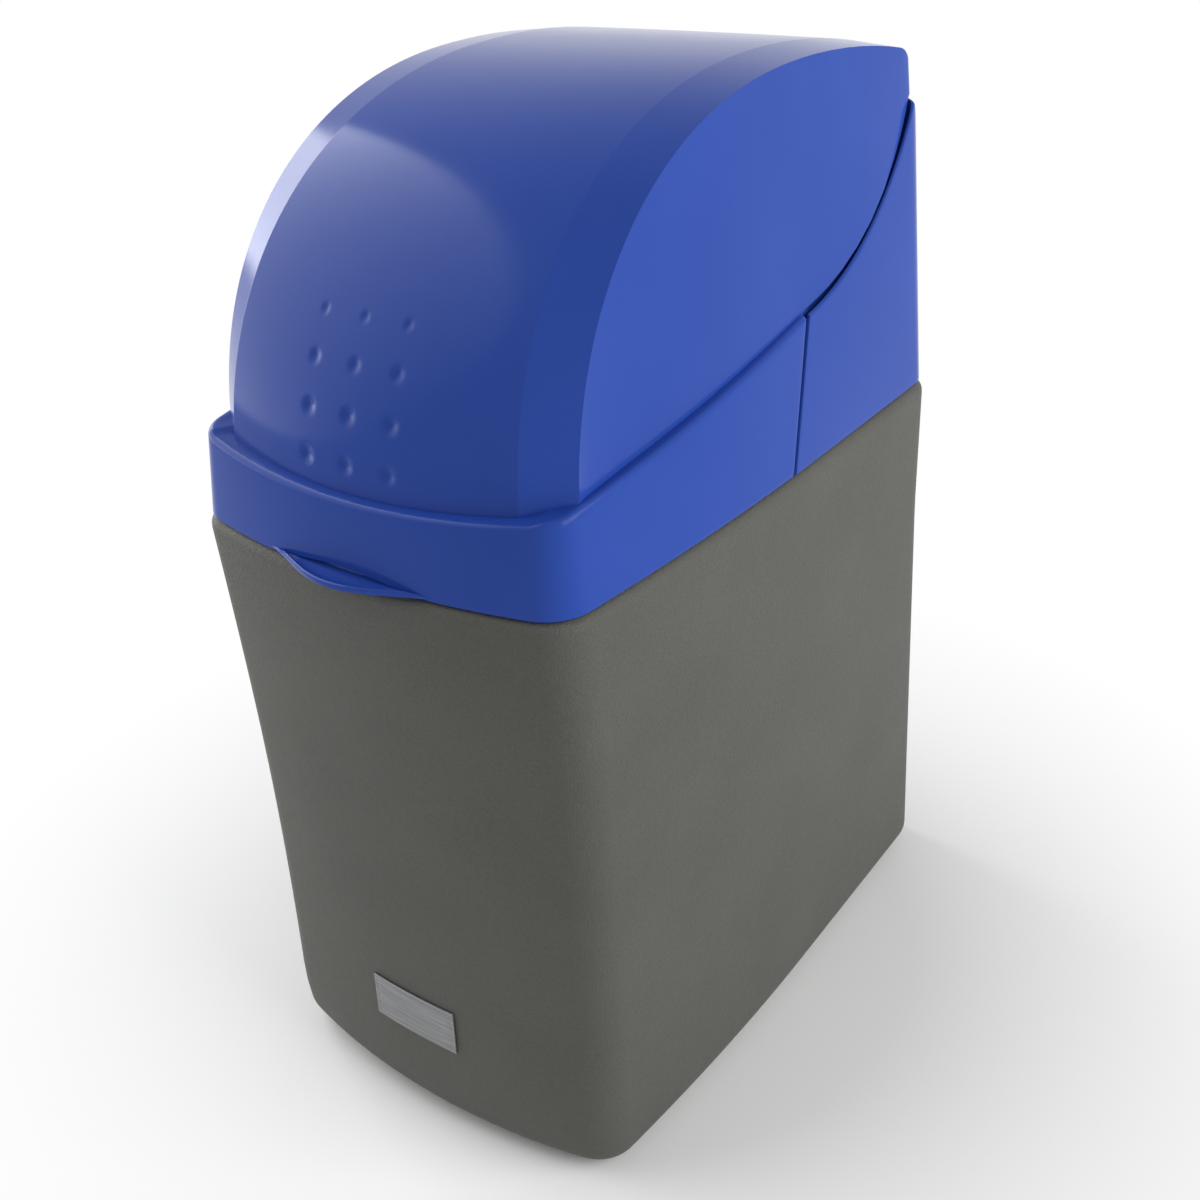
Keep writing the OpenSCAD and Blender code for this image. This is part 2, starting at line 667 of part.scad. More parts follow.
module bonnet_screws() {
    color("silver") placed() screw_ring() {
        rod_z(2 * screw_r, deck_z, deck_z + 3, 0, 0);
        rod_z(screw_r, valve_top - 10, deck_z, 0, 0);
    }
}

module valve_rotor() {
    color([0.86, 0.84, 0.78]) placed() translate([0, vessel_y, 0]) difference() {
        union() {
            rod_z(chamber_r - 0.5, chamber_z + eps, chamber_z + 16, 0, 0);
            rod_z(12, chamber_z + eps, valve_top - eps, 0, 0);
            rod_z(shaft_r, chamber_z, frame_z + 2, 0, 0);
        }
        rod_z(shaft_r + 1, chamber_z - 1, chamber_z + eps, 0, 0);
        for (k = [0:3]) rotate([0, 0, 45 + 90 * k])
            rod_z(5, chamber_z - 1, chamber_z + 20, chamber_r * 0.68, 0);
    }
}

tooth_slack = 0.16;
tooth_top = 0.85;
function gear_outline(n, turn) = let (r = gear_m * n / 2, foot = r - 1.25 * gear_m,
    top = r + tooth_top * gear_m,
    tip = (0.42 * gear_m - tooth_slack) / top * 180 / PI,
    root = (1.2 * gear_m - tooth_slack) / foot * 180 / PI)
    [for (k = [0:n - 1]) let (a = turn + 360 * k / n) each [
        foot * [cos(a - root), sin(a - root)], top * [cos(a - tip), sin(a - tip)],
        top * [cos(a + tip), sin(a + tip)], foot * [cos(a + root), sin(a + root)]]];
module drive_gear() {
    color([0.9, 0.88, 0.8]) placed() translate([0, vessel_y, gear_z]) difference() {
        linear_extrude(height = gear_t) polygon(gear_outline(gear_teeth, 0));
        rod_z(shaft_r + run_fit, -1, gear_t + 1, 0, 0);
        for (k = [0:4]) rotate([0, 0, 72 * k]) rod_z(5, -1, gear_t + 1, gear_r * 0.58, 0);
    }
}

module motor_pinion() {
    color([0.8, 0.7, 0.4]) placed() translate([pinion_x, vessel_y, 0]) {
        translate([0, 0, gear_z]) linear_extrude(height = gear_t)
            polygon(gear_outline(pinion_teeth, 180 + 180 / pinion_teeth));
        rod_z(2, gear_z + gear_t, frame_z + frame_t + 8, 0, 0);
    }
}

// Gear frame: a plate on three posts that carries the motor and the control housing
plate_front = 22;
motor_r = 24;
motor_c = [pinion_x - 10, vessel_y + 8];
module gear_frame() {
    color([0.18, 0.18, 0.2]) placed() difference() {
        union() {
            translate([-valve_r, plate_front, frame_z])
                cube([valve_r + motor_c[0] + motor_r, vessel_y + valve_r - plate_front, frame_t]);
            for (a = [60, 180, 300]) rod_z(4, deck_z, frame_z + 1, (valve_r - 1) * cos(a),
                vessel_y + (valve_r - 1) * sin(a));
        }
        rod_z(shaft_r + run_fit, frame_z - 1, frame_z + frame_t + 1, 0, vessel_y);
        rod_z(4, frame_z - 1, frame_z + frame_t + 1, pinion_x, vessel_y);
    }
}

module gear_motor() {
    base = frame_z + frame_t;
    color([0.7, 0.71, 0.72]) placed() difference() {
        union() {
            rod_z(motor_r, base, base + 18, motor_c[0], motor_c[1]);
            for (s = [-1, 1]) translate([motor_c[0] + s * (motor_r + 3), motor_c[1], base])
                cylinder(r = 6, h = 1.2);
        }
        rod_z(2 + run_fit, base - 1, base + 9, pinion_x, vessel_y);
    }
}

// Pipe connections behind the hood
port_end = back_reach + port_out;
module connector(x) {
    difference() {
        union() {
            translate([x, manifold_y, port_z]) rotate([-90, 0, 0]) cylinder(r = 19, h = 9, $fn = 6);
            rod_y(thread_r - 1.2, manifold_y, port_end, x, port_z);
            rod_y(thread_r, back_reach + 4, port_end, x, port_z);
        }
        rod_y(9.2, manifold_y - 1, port_end + 1, x, port_z);
    }
}
module inlet_connector() {
    color([0.8, 0.66, 0.38]) placed() connector(-port_x);
}
module outlet_connector() {
    color([0.8, 0.66, 0.38]) placed() connector(port_x);
}

meter_y = manifold_y + 12;
module turbine_cage() {
    color([0.3, 0.32, 0.35]) placed() for (y = [meter_y, meter_y + 15]) difference() {
        rod_y(9.1, y, y + 3, port_x, port_z);
        for (k = [0:2]) translate([port_x, 0, port_z]) rotate([0, 120 * k, 0])
            rod_y(3, y - 1, y + 4, 5.2, 0);
        rod_y(1.2 + run_fit, y - 1, y + 4, port_x, port_z);
    }
}
module flow_turbine() {
    color([0.2, 0.35, 0.7]) placed() translate([port_x, 0, port_z]) {
        rod_y(3, meter_y + 4, meter_y + 14, 0, 0);
        rod_y(1.2, meter_y + 0.5, meter_y + 17.5, 0, 0);
        for (k = [0:5]) rotate([0, 60 * k, 0]) translate([2, meter_y + 4.5, -0.6]) cube([6.2, 9, 1.2]);
    }
}

module barbed(y0, y1, x, z, r) {
    rod_y(r - 1, y0, y1, x, z);
    rod_y(r, y1 - 18, y1, x, z);
}
module drain_spigot() {
    color([0.85, 0.85, 0.87]) placed() difference() {
        union() {
            translate([0, manifold_y, port_z]) rotate([-90, 0, 0]) cylinder(r = 11, h = 7, $fn = 6);
            barbed(manifold_y, port_end, 0, port_z, hose_r);
        }
        rod_y(hose_r - 2.5, manifold_y - 1, port_end + 1, 0, port_z);
    }
}

// Control housing with a sloping face; its local +Z is the outward normal of that face
face_low = [-36, frame_z - 2];
face_high = [4, frame_z + 50];
face_mid = (face_low + face_high) / 2;
face_a = atan2(face_high[1] - face_low[1], face_high[0] - face_low[0]);
face_l = norm(face_high - face_low);
module on_face() {
    translate([0, face_mid[0], face_mid[1]]) rotate([face_a, 0, 0]) children();
}
module housing_prism(w, d) {
    rotate([90, 0, 90]) linear_extrude(height = w, center = true) polygon([
        [plate_front + 1 - d, face_low[1] - 12 + d], [face_low[0] + 4 + 0.6 * d, face_low[1] - 12 + d],
        [face_low[0] + 1.2 * d, face_low[1]], [face_high[0] + 0.4 * d, face_high[1] - d],
        [plate_front + 1 - d, face_high[1] - d]]);
}
display_y = 13;
button_y = -18;
button_gap = 0.3;
module each_button() {
    for (k = [0:3]) translate([(k - 1.5) * button_pitch, button_y, 0]) children();
}
back_t = 2.5;
housing_d = 30;
module housing_cut() {
    translate([-panel_w, plate_front - back_t, 0]) cube([2 * panel_w, housing_d, 2 * body_h]);
}
module control_housing() {
    color([0.13, 0.13, 0.14]) placed() difference() {
        union() {
            difference() {
                housing_prism(panel_w, 0);
                housing_prism(panel_w - 2 * panel_wall, panel_wall);
            }
            on_face() for (sx = [-1, 1]) for (y = [face_l / 2 - 9, 9 - face_l / 2])
                rod_z(3, -8, -1.5, sx * (panel_w / 2 - 9), y);
        }
        housing_cut();
        on_face() {
            translate([-display_w / 2, display_y - display_h / 2, -10]) cube([display_w, display_h, 20]);
            each_button() rod_z(button_r + button_gap, -7, 5, 0, 0);
        }
    }
}
module control_back() {
    color([0.13, 0.13, 0.14]) placed() intersection() {
        housing_prism(panel_w, 0);
        translate([-panel_w, plate_front - back_t, 0]) cube([2 * panel_w, back_t, 1000]);
    }
}
module control_board() {
    color([0.1, 0.35, 0.2]) placed() on_face() {
        translate([-panel_w / 2 + 5, -face_l / 2 + 5, -9.6]) cube([panel_w - 10, face_l - 10, 1.6]);
        each_button() translate([-3, -3, -8.2]) cube([6, 6, 2.1]);
    }
}
module display_window() {
    color([0.25, 0.4, 0.45]) placed() on_face() translate([-display_w / 2, display_y - display_h / 2, -8])
        cube([display_w, display_h, 7.4]);
}
module push_button(k) {
    color([0.75, 0.77, 0.8]) placed() on_face() translate([(k - 1.5) * button_pitch, button_y, 0]) {
        rod_z(button_r, -4.3, 2, 0, 0);
        rod_z(button_r + 1.6, -4.3, -panel_wall - 0.4, 0, 0);
    }
}
module button_1() push_button(0);
module button_2() push_button(1);
module button_3() push_button(2);
module button_4() push_button(3);

// Brine well with its float valve, and the tube to the valve
well_top = body_h - well_drop;
well_x = well_side - half_w;
well_wall = 2.5;
pickup_r = 6;
module in_well() {
    translate([well_x, well_y, 0]) children();
}
module brine_well() {
    color([0.9, 0.9, 0.88]) placed() in_well() difference() {
        rod_z(well_r, floor_t, well_top, 0, 0);
        rod_z(well_r - well_wall, floor_t - 1, well_top + 1, 0, 0);
        for (k = [0:5]) rotate([0, 0, 30 * k]) translate([-well_r - 1, -2, floor_t + 6])
            cube([2 * well_r + 2, 4, 30]);
    }
}
module well_cap() {
    color([0.16, 0.3, 0.6]) placed() in_well() difference() {
        union() {
            rod_z(well_r + 2, well_top, well_top + 4, 0, 0);
            rod_z(well_r - well_wall - eps, well_top - 8, well_top, 0, 0);
        }
        rod_z(well_r - well_wall - 3, well_top - 9, well_top - 1, 0, 0);
        rod_z(pickup_r + run_fit, well_top - 2, well_top + 5, 0, 0);
    }
}
check_top = floor_t + 34;
float_z = floor_t + 164;
float_h = 50;
float_stop = float_z + float_h + float_travel;
module brine_pickup() {
    color([0.92, 0.92, 0.9]) placed() in_well() difference() {
        union() {
            rod_z(pickup_r, check_top, well_top + 8, 0, 0);
            rod_z(pickup_r + 4, float_z - 3 - eps, float_z - eps, 0, 0);
            rod_z(pickup_r + 4, float_stop + eps, float_stop + 3, 0, 0);
        }
        rod_z(pickup_r - 1.5, check_top - 1, well_top + 9, 0, 0);
    }
}
check_r = 14;
slot_w = 3;
slot_h = 16;
slot_rise = 4;
module air_check() {
    color([0.2, 0.2, 0.22]) placed() in_well() difference() {
        rod_z(check_r, floor_t, check_top, 0, 0);
        for (k = [0:2]) rotate([0, 0, 60 * k]) translate([-check_r - 1, -slot_w / 2, floor_t + slot_rise])
            cube([2 * check_r + 2, slot_w, slot_h]);
    }
}
module brine_float() {
    color([0.9, 0.5, 0.15]) placed() in_well() difference() {
        union() {
            rod_z(float_r, float_z + 5, float_z + float_h - 5, 0, 0);
            translate([0, 0, float_z]) cylinder(r1 = float_r - 5, r2 = float_r, h = 5);
            translate([0, 0, float_z + float_h - 5]) cylinder(r1 = float_r, r2 = float_r - 5, h = 5);
        }
        rod_z(pickup_r + 0.4, float_z - 1, float_z + float_h + 1, 0, 0);
    }
}
elbow_z = well_top + 20;
elbow_r = 8;
module brine_elbow() {
    color([0.12, 0.12, 0.13]) placed() in_well() difference() {
        union() {
            rod_z(elbow_r, well_top + 4, elbow_z, 0, 0);
            translate([0, 0, elbow_z]) sphere(r = elbow_r);
            rod_y(elbow_r, 0, 18, 0, elbow_z);
        }
        rod_z(pickup_r + run_fit, well_top + 3, well_top + 8 + run_fit, 0, 0);
        rod_z(3, well_top + 4, elbow_z, 0, 0);
        rod_y(3, 0, 19, 0, elbow_z);
    }
}
tube_r = 4.8;
tube_ends = [[well_x, well_y + 18, elbow_z], [well_x, 10, elbow_z], [-118, vessel_y, brine_z],
    [-valve_r - 20, vessel_y, brine_z]];
function bezier(p, t) = pow(1 - t, 3) * p[0] + 3 * t * pow(1 - t, 2) * p[1] + 3 * t * t * (1 - t) * p[2]
    + t * t * t * p[3];
function slope(p, t) = let (d = pow(1 - t, 2) * (p[1] - p[0]) + 2 * t * (1 - t) * (p[2] - p[1])
    + t * t * (p[3] - p[2])) d / norm(d);
function across(d) = let (s = cross(d, [0, 0, 1])) s / norm(s);
module brine_tube() {
    rings = 18;
    sides = 10;
    points = [for (k = [0:rings]) let (t = k / rings, c = bezier(tube_ends, t), d = slope(tube_ends, t),
        u = across(d), v = cross(u, d)) for (i = [0:sides - 1])
        c + tube_r * (u * cos(360 * i / sides) + v * sin(360 * i / sides))];
    last = rings * sides;
    walls = [for (k = [0:rings - 1]) for (i = [0:sides - 1]) let (a = k * sides + i,
        b = k * sides + (i + 1) % sides) each [[a, b + sides, a + sides], [a, b, b + sides]]];
    ends = [for (i = [1:sides - 2]) each [[0, i + 1, i], [last, last + i, last + i + 1]]];
    color([0.85, 0.88, 0.9]) placed() polyhedron(points = points, faces = concat(walls, ends));
}

// Salt grid on its legs, round the well and in front of the vessel
grid_t = 4;
grid_in = body_wall + 7;
grid_rear = -16;
module grid_plan() {
    half = [for (p = full_half) let (q = inset(p, grid_in)) [q[0], min(q[1] + front_hollow, grid_rear)]];
    polygon(concat(half, [for (i = [len(half) - 1:-1:1]) [-half[i][0], half[i][1]]]));
}
module salt_grid() {
    legs = [[-73.5, -146.5], [73.5, -146.5], [10.5, -167.5], [94.5, -41.5], [10.5, -83.5]];
    color([0.2, 0.2, 0.22]) placed() {
        translate([0, 0, floor_t + grid_h]) linear_extrude(height = grid_t) difference() {
            grid_plan();
            translate([well_x, well_y]) circle(r = well_r + 1);
            translate([0, vessel_y]) circle(r = vessel_r + 2);
            for (i = [-4:4]) for (j = [0:3]) translate([i * 21, -178 + j * 21]) circle(r = 5);
            for (i = [0:4]) for (j = [4:6]) translate([i * 21, -178 + j * 21]) circle(r = 5);
        }
        for (p = legs) rod_z(5, floor_t, floor_t + grid_h, p[0], p[1]);
    }
}

module overflow_spigot() {
    y = back_reach + shoulder_out;
    color([0.85, 0.85, 0.87]) placed() difference() {
        union() {
            rod_y(overflow_r + overflow_flange, y + 2, y + 5, overflow_x, overflow_z);
            rod_y(overflow_r, y - 16, port_end, overflow_x, overflow_z);
        }
        rod_y(overflow_r - 2, y - 17, port_end + 1, overflow_x, overflow_z);
    }
}
module overflow_gasket() {
    y = back_reach + shoulder_out;
    color([0.05, 0.05, 0.05]) placed() difference() {
        rod_y(overflow_r + overflow_flange, y, y + 2, overflow_x, overflow_z);
        rod_y(overflow_r + run_fit, y - 1, y + 3, overflow_x, overflow_z);
    }
}
module overflow_nut() {
    y = back_reach + shoulder_out - body_wall;
    color([0.85, 0.85, 0.87]) placed() difference() {
        translate([overflow_x, y - 6, overflow_z]) rotate([-90, 0, 0])
            cylinder(r = overflow_r + overflow_flange, h = 6, $fn = 6);
        rod_y(overflow_r + run_fit, y - 7, y + 1, overflow_x, overflow_z);
    }
}

cabinet();
label_plate();
lid();
rear_cover();
hinge_pins();
cover_screws();
power_gland();
gland_nut();
vessel();
vessel_boot();
riser_tube();
lower_basket();
upper_basket();
resin_bed();
valve_body();
neck_seal();
bonnet();
shaft_seal();
bonnet_screws();
valve_rotor();
drive_gear();
motor_pinion();
gear_frame();
gear_motor();
inlet_connector();
outlet_connector();
turbine_cage();
flow_turbine();
drain_spigot();
control_housing();
control_back();
control_board();
display_window();
button_1();
button_2();
button_3();
button_4();
brine_well();
well_cap();
brine_pickup();
air_check();
brine_float();
brine_elbow();
brine_tube();
salt_grid();
overflow_spigot();
overflow_gasket();
overflow_nut();
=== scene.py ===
import json
import math
import bpy
from mathutils import Matrix, Vector


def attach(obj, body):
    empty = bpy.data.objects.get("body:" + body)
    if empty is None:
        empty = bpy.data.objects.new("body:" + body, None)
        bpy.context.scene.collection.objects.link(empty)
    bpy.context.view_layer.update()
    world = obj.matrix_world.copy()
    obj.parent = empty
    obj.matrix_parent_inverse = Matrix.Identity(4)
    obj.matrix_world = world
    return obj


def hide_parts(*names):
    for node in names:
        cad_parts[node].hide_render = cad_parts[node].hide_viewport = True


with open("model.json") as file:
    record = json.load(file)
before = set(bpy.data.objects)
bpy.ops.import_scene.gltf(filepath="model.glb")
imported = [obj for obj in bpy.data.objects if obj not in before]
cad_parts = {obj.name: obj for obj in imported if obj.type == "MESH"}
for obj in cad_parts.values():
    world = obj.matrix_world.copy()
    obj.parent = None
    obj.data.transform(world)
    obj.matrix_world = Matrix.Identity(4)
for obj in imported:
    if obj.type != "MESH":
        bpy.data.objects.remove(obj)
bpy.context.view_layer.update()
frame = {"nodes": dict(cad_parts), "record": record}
bpy.ops.object.select_all(action="DESELECT")

# Sizes in millimetres, measured from the plane where the sides are widest; MM turns them into metres

MM = 0.001

# Plan of the hood rim

HALF_W = 128.0
FRONT = 221.0
BACK = 148.0
SIDE_R = 1822.0
CORNER_R = 24.0
FRONT_R = 420.0
REAR_R = 22.0
REAR_TURN = BACK - REAR_R
LIP_OUT = 12.0
PORT_OUT = 24.0
SHIFT_Y = (FRONT + LIP_OUT - BACK - PORT_OUT) / 2

# Cabinet

BODY_H = 358.0
SHOULDER_OUT = 2.0
SHOULDER_R = 7.0
SIDE_FLARE = 2.0
FRONT_HOLLOW = 5.8
FRONT_TUCK = 7.0
TUCK_H = 45.0
BACK_LEAN = 18.0
LEAN_TOP = 277.0
FOOT_R = 18.0
FLOOR_T = 6.0
BODY_WALL = 4.0
UPSTAND_IN = 10.0
UPSTAND_WALL = 3.0
UPSTAND_H = 15.0
FILLET = 0.2
EDGE_IN = 0.4
EDGE_DOWN = 0.6
HAUNCH_TOP = 11.0
HAUNCH_LOW = 40.0
WALL_LEVELS = (286, 220, 150, 85, 40, 24)
INNER_FOOT = (8.0, 10.0)

# Hood: skirt band with its ledge

RIM = BODY_H + 0.1
DRAFT = 0.125
REAR_DRAFT = 0.08
HOOD_WALL = 3.0
BAND_FRONT_H = 37.7
LEDGE_RISE = 7.4
LEDGE_RUN = 16.0
LEDGE_SLOPE = 0.09
LEDGE_SWEEP = 2.7
LEDGE_R = 3.0
LEDGE_LIFT = 0.2
LEDGE_REACH = 14.0
LEDGE_CORNER = 64.0
LEDGE_SIDE = 15.0
LEDGE_AIM_Y = -60.0
BAND_SPAN = 30.0
BAND_TURN_Y = -150.0
LIP_ZONE_Y = -200.0

# Hood: dome, panel, strips and roof

CREST = 22.6
DOME_SET = 9.2
DOME_REACH = FRONT + CREST - DOME_SET
DOME_E = 0.85
DOME_H = 182.0
SPRING_H = 17.5
PANEL_BOW = 13.0
BOW_GROWTH = 7.0
PANEL_FLAT = 8.0
PANEL_CROWN = 0.4
STRIP_SET = 16.6
STRIP_W = 20.2
STRIP_GROWTH = 7.5
STRIP_FALL = 2.6
OUTER_X = HALF_W - 17.0
CREASE_IN = 6.0
CREASE_HOLLOW = 8.0
SIDE_IN = 10.0
SEAM_IN = 7.5
SIDE_RUN = 150.0
FLUSH_Y = 90.0
FOOT_BACK = 8.0
FOOT_H = 2.0
ROOF_FALL = 10.3
LID_FLARE = 4.5
LID_REAR = 132.0
CREST_EASE = 2.2

# Dimples: columns, then height and radius of each row

DIMPLE_MID = -2.5
DIMPLE_PITCH = 25.5
DIMPLE_ROWS = ((471.4, 2.9), (452.2, 4.0), (431.0, 4.6), (409.4, 4.9))
DIMPLE_EDGE = 1.25
DIMPLE_DEPTH = 1.15
DIMPLE_MEAN_R = 4.4
DIMPLE_SLOPE = 1.04
DIMPLE_SINK = 0.25
DIMPLE_TOP_Y = -150.0
FINE_STEP = 1.1
FINE_COUNT = 33
FINE_END = FINE_STEP * (FINE_COUNT - 1)

# Finger lip

LIP_HALF = 60.0
LIP_REACH = 12.9
LIP_TUCK = 0.9
LIP_END = -0.8
LIP_STEPS = 56
LIP_RAISE = 5.2
LIP_RAISE_HALF = 56.0

# Seam and rear cover

SEAM_Y = -16.0
SEAM_Z = RIM + 242.9
SEAM_R = 168.0
SEAM_GAP = 1.6
SEAM_FOOT_Y = -21.0
SEAM_KNEE_Y = 7.4
SEAM_KNEE_H = 76.4
SEAM_LEAN = 0.37
SEAM_LOW_R = SEAM_R + SEAM_GAP / 2
SEAM_HIGH_R = SEAM_R - SEAM_GAP / 2
SEAM_START_Y = 7.0
SEAM_END_Y = 128.0
REAR_EDGE_H = 157.9
REAR_EDGE_RISE = 3.7
REAR_EDGE_RUN = 3.0
COVER_TOP = RIM + 160.0
COVER_WALL = 5.4
COVER_R = 12.0
COVER_THIN = 1.6
COVER_ROOF = 5.0
COVER_STEP = 3.5
COVER_STEP_Y = 129.0
FLANGE_Y = 2.0
FLANGE_RUN = 117.0
FLANGE_STEPS = 30
FLANGE_SET = 3.8
FLANGE_WALL = 2.0
WINDOW_HALF = 58.0
WINDOW_NEAR = BACK - 14.0
WINDOW_FAR = BACK + 12.0
WINDOW_LOW = RIM + 19.9
WINDOW_HIGH = RIM + 63.9

# Hinge

KNUCKLE_R = 4.2
KNUCKLE_L = 10.0
KNUCKLE_EDGE = 0.5
ARM_IN = 0.4
ARM_SINK = 1.5
ARM_LOW = 0.6
ARM_HIGH = 3.4
EAR_L = 5.0
EAR_GAP = 0.3
EAR_HALF = 3.5
EAR_SINK = 2.0
EAR_EDGE = 0.4
HINGE_X = 59.0
HINGE_Y = BACK - 11.0
HINGE_Z = COVER_TOP + KNUCKLE_R + 0.6

# Label plate

LABEL_Z = 63.0
LABEL_STAND = 1.4
LABEL_WALL = 1.15
GROOVE_X = 26.9
GROOVE_H = (2.6, 26.4)
GROOVE_DEEP = 0.25


# Plan outline of the hood rim: bowed front, round corner, bowed side

def corner_centre(turn):
    reach = SIDE_R - CORNER_R
    return (HALF_W - SIDE_R + reach * math.cos(turn), -reach * math.sin(turn))


def plan_arcs():
    """Angles where the corner meets the side and the front, found by repeated steps."""
    turn = math.asin((FRONT - CORNER_R) / SIDE_R)
    reach = FRONT_R - CORNER_R
    for _ in range(12):
        swing = math.acos(corner_centre(turn)[0] / reach)
        turn = math.asin((FRONT - FRONT_R + reach * math.sin(swing)) / (SIDE_R - CORNER_R))
    centre = corner_centre(turn)
    return turn, math.acos(centre[0] / reach), centre


TURN, SWING, CORNER = plan_arcs()


def arc_points(centre, r, a0, a1, n, first):
    """Points of an arc, each with its outward direction."""
    out = []
    for i in range(first, n + 1):
        a = a0 + (a1 - a0) * i / n
        nx, ny = math.cos(a), -math.sin(a)
        out.append((centre[0] + r * nx, centre[1] + r * ny, nx, ny))
    return out


def front_half(n_front, n_corner, n_side):
    return (arc_points((0, FRONT_R - FRONT), FRONT_R, math.pi / 2, SWING, n_front, 0)
            + arc_points(CORNER, CORNER_R, SWING, TURN, n_corner, 1)
            + arc_points((HALF_W - SIDE_R, 0), SIDE_R, TURN, 0, n_side, 1))


def rear_half(n):
    return arc_points((HALF_W - REAR_R, REAR_TURN), REAR_R, 0, -math.pi / 2, n, 0)


def rim_y(x):
    return FRONT_R - FRONT - math.sqrt(FRONT_R * FRONT_R - x * x)


def side_x(y):
    return HALF_W if y > 0 else HALF_W - SIDE_R + math.sqrt(SIDE_R * SIDE_R - y * y)


def mirrored(half):
    return [(-p[0], p[1], p[2]) for p in reversed(half[1:])]


def both_sides(half):
    """Right half, then the left half back to the start, as one loop of points."""
    return half + mirrored(half)


def across(half):
    """Left end to right end through the middle plane, as one open row of points."""
    return mirrored(half) + half


def swell(x, half):
    """1 in the middle, easing to 0 at the half width."""
    return math.cos(math.pi / 2 * min(abs(x) / half, 1)) ** 2


# Making of pieces

def in_metres(p):
    return Vector((p[0] * MM, (p[1] + SHIFT_Y) * MM, p[2] * MM))


def take(obj):
    bpy.ops.object.select_all(action="DESELECT")
    obj.select_set(True)
    bpy.context.view_layer.objects.active = obj


def sheet_from_rows(name, rows, loop=False):
    """A grid primitive whose vertices are laid on the rows of points."""
    n = len(rows[0])
    cols = n + (1 if loop else 0)
    bpy.ops.object.select_all(action="DESELECT")
    bpy.ops.mesh.primitive_grid_add(x_subdivisions=cols - 1, y_subdivisions=len(rows) - 1, size=2,
                                    location=(0, 0, 0))
    obj = bpy.context.active_object
    obj.name = name
    for k, v in enumerate(obj.data.vertices):
        v.co = in_metres(rows[k // cols][(k % cols) % n])
    if loop:
        weld(obj)
    return obj


def weld(obj, dist=0.00001):
    take(obj)
    bpy.ops.object.mode_set(mode="EDIT")
    bpy.ops.mesh.select_all(action="SELECT")
    bpy.ops.mesh.remove_doubles(threshold=dist)
    bpy.ops.mesh.normals_make_consistent(inside=False)
    bpy.ops.object.mode_set(mode="OBJECT")


def close_ends(obj):
    take(obj)
    bpy.ops.object.mode_set(mode="EDIT")
    bpy.ops.mesh.select_all(action="DESELECT")
    bpy.ops.mesh.select_non_manifold()
    bpy.ops.mesh.fill_holes(sides=0)
    bpy.ops.mesh.select_all(action="SELECT")
    bpy.ops.mesh.normals_make_consistent(inside=False)
    bpy.ops.object.mode_set(mode="OBJECT")


def face_out(obj, inside):
    """Turns an open sheet so that it faces away from a point inside, before it gets its wall."""
    centre = in_metres(inside)
    total = sum((p.center - centre).dot(p.normal) * p.area for p in obj.data.polygons)
    if total < 0:
        obj.data.flip_normals()


def wall(obj, thick, even=False):
    take(obj)
    mod = obj.modifiers.new("wall", "SOLIDIFY")
    mod.thickness = thick * MM
    mod.offset = -1
    mod.use_even_offset = even
    mod.use_rim = True
    bpy.ops.object.modifier_apply(modifier="wall")


def soften(obj):
    take(obj)
    mod = obj.modifiers.new("soften", "SUBSURF")
    mod.levels = 1
    mod.render_levels = 1
    bpy.ops.object.modifier_apply(modifier="soften")


def round_edges(obj, width, angle=35):
    take(obj)
    mod = obj.modifiers.new("edges", "BEVEL")
    mod.width = width * MM
    mod.segments = 2
    mod.limit_method = "ANGLE"
    mod.angle_limit = math.radians(angle)
    bpy.ops.object.modifier_apply(modifier="edges")


def smooth(obj, angle):
    take(obj)
    bpy.ops.object.shade_smooth_by_angle(angle=math.radians(angle))


def cut_with(obj, tool):
    take(obj)
    mod = obj.modifiers.new("cut", "BOOLEAN")
    mod.operation = "DIFFERENCE"
    mod.solver = "EXACT"
    mod.object = tool
    bpy.ops.object.modifier_apply(modifier="cut")
    bpy.data.objects.remove(tool, do_unlink=True)


def unite(objs, name):
    bpy.ops.object.select_all(action="DESELECT")
    for o in objs:
        o.select_set(True)
    bpy.context.view_layer.objects.active = objs[0]
    bpy.ops.object.join()
    obj = bpy.context.active_object
    obj.name = name
    return obj


def settle(obj):
    take(obj)
    bpy.ops.object.transform_apply(location=True, rotation=True, scale=True)


def block(low, high, bevel=0.0):
    """A box between two opposite corners."""
    a, b = in_metres(low), in_metres(high)
    bpy.ops.object.select_all(action="DESELECT")
    bpy.ops.mesh.primitive_cube_add(size=1, location=(a + b) / 2)
    obj = bpy.context.active_object
    obj.scale = b - a
    settle(obj)
    if bevel:
        round_edges(obj, bevel)
    return obj


def knuckle(x0, x1):
    """One round knuckle on the hinge line."""
    a, b = (in_metres((x, HINGE_Y, HINGE_Z)) for x in (x0, x1))
    bpy.ops.object.select_all(action="DESELECT")
    bpy.ops.mesh.primitive_cylinder_add(vertices=36, radius=KNUCKLE_R * MM, depth=(b - a).length,
                                        location=(a + b) / 2)
    obj = bpy.context.active_object
    obj.rotation_euler = (b - a).to_track_quat("Z", "Y").to_euler()
    settle(obj)
    round_edges(obj, KNUCKLE_EDGE)
    return obj


# Cabinet: foot, leaning front, shoulder, upstand and inner walls in one skin

def hollow(z):
    """How far the front is drawn in: the waist, and the tuck under the foot."""
    waist = FRONT_HOLLOW * math.sin(math.pi * min(max(z / BODY_H, 0), 1))
    return waist + FRONT_TUCK * max(1 - z / TUCK_H, 0) ** 2


def lean(y, z):
    """How far the back stands out towards the foot."""
    return BACK_LEAN * max(1 - z / LEAN_TOP, 0) if y > REAR_TURN - 1 else 0.0


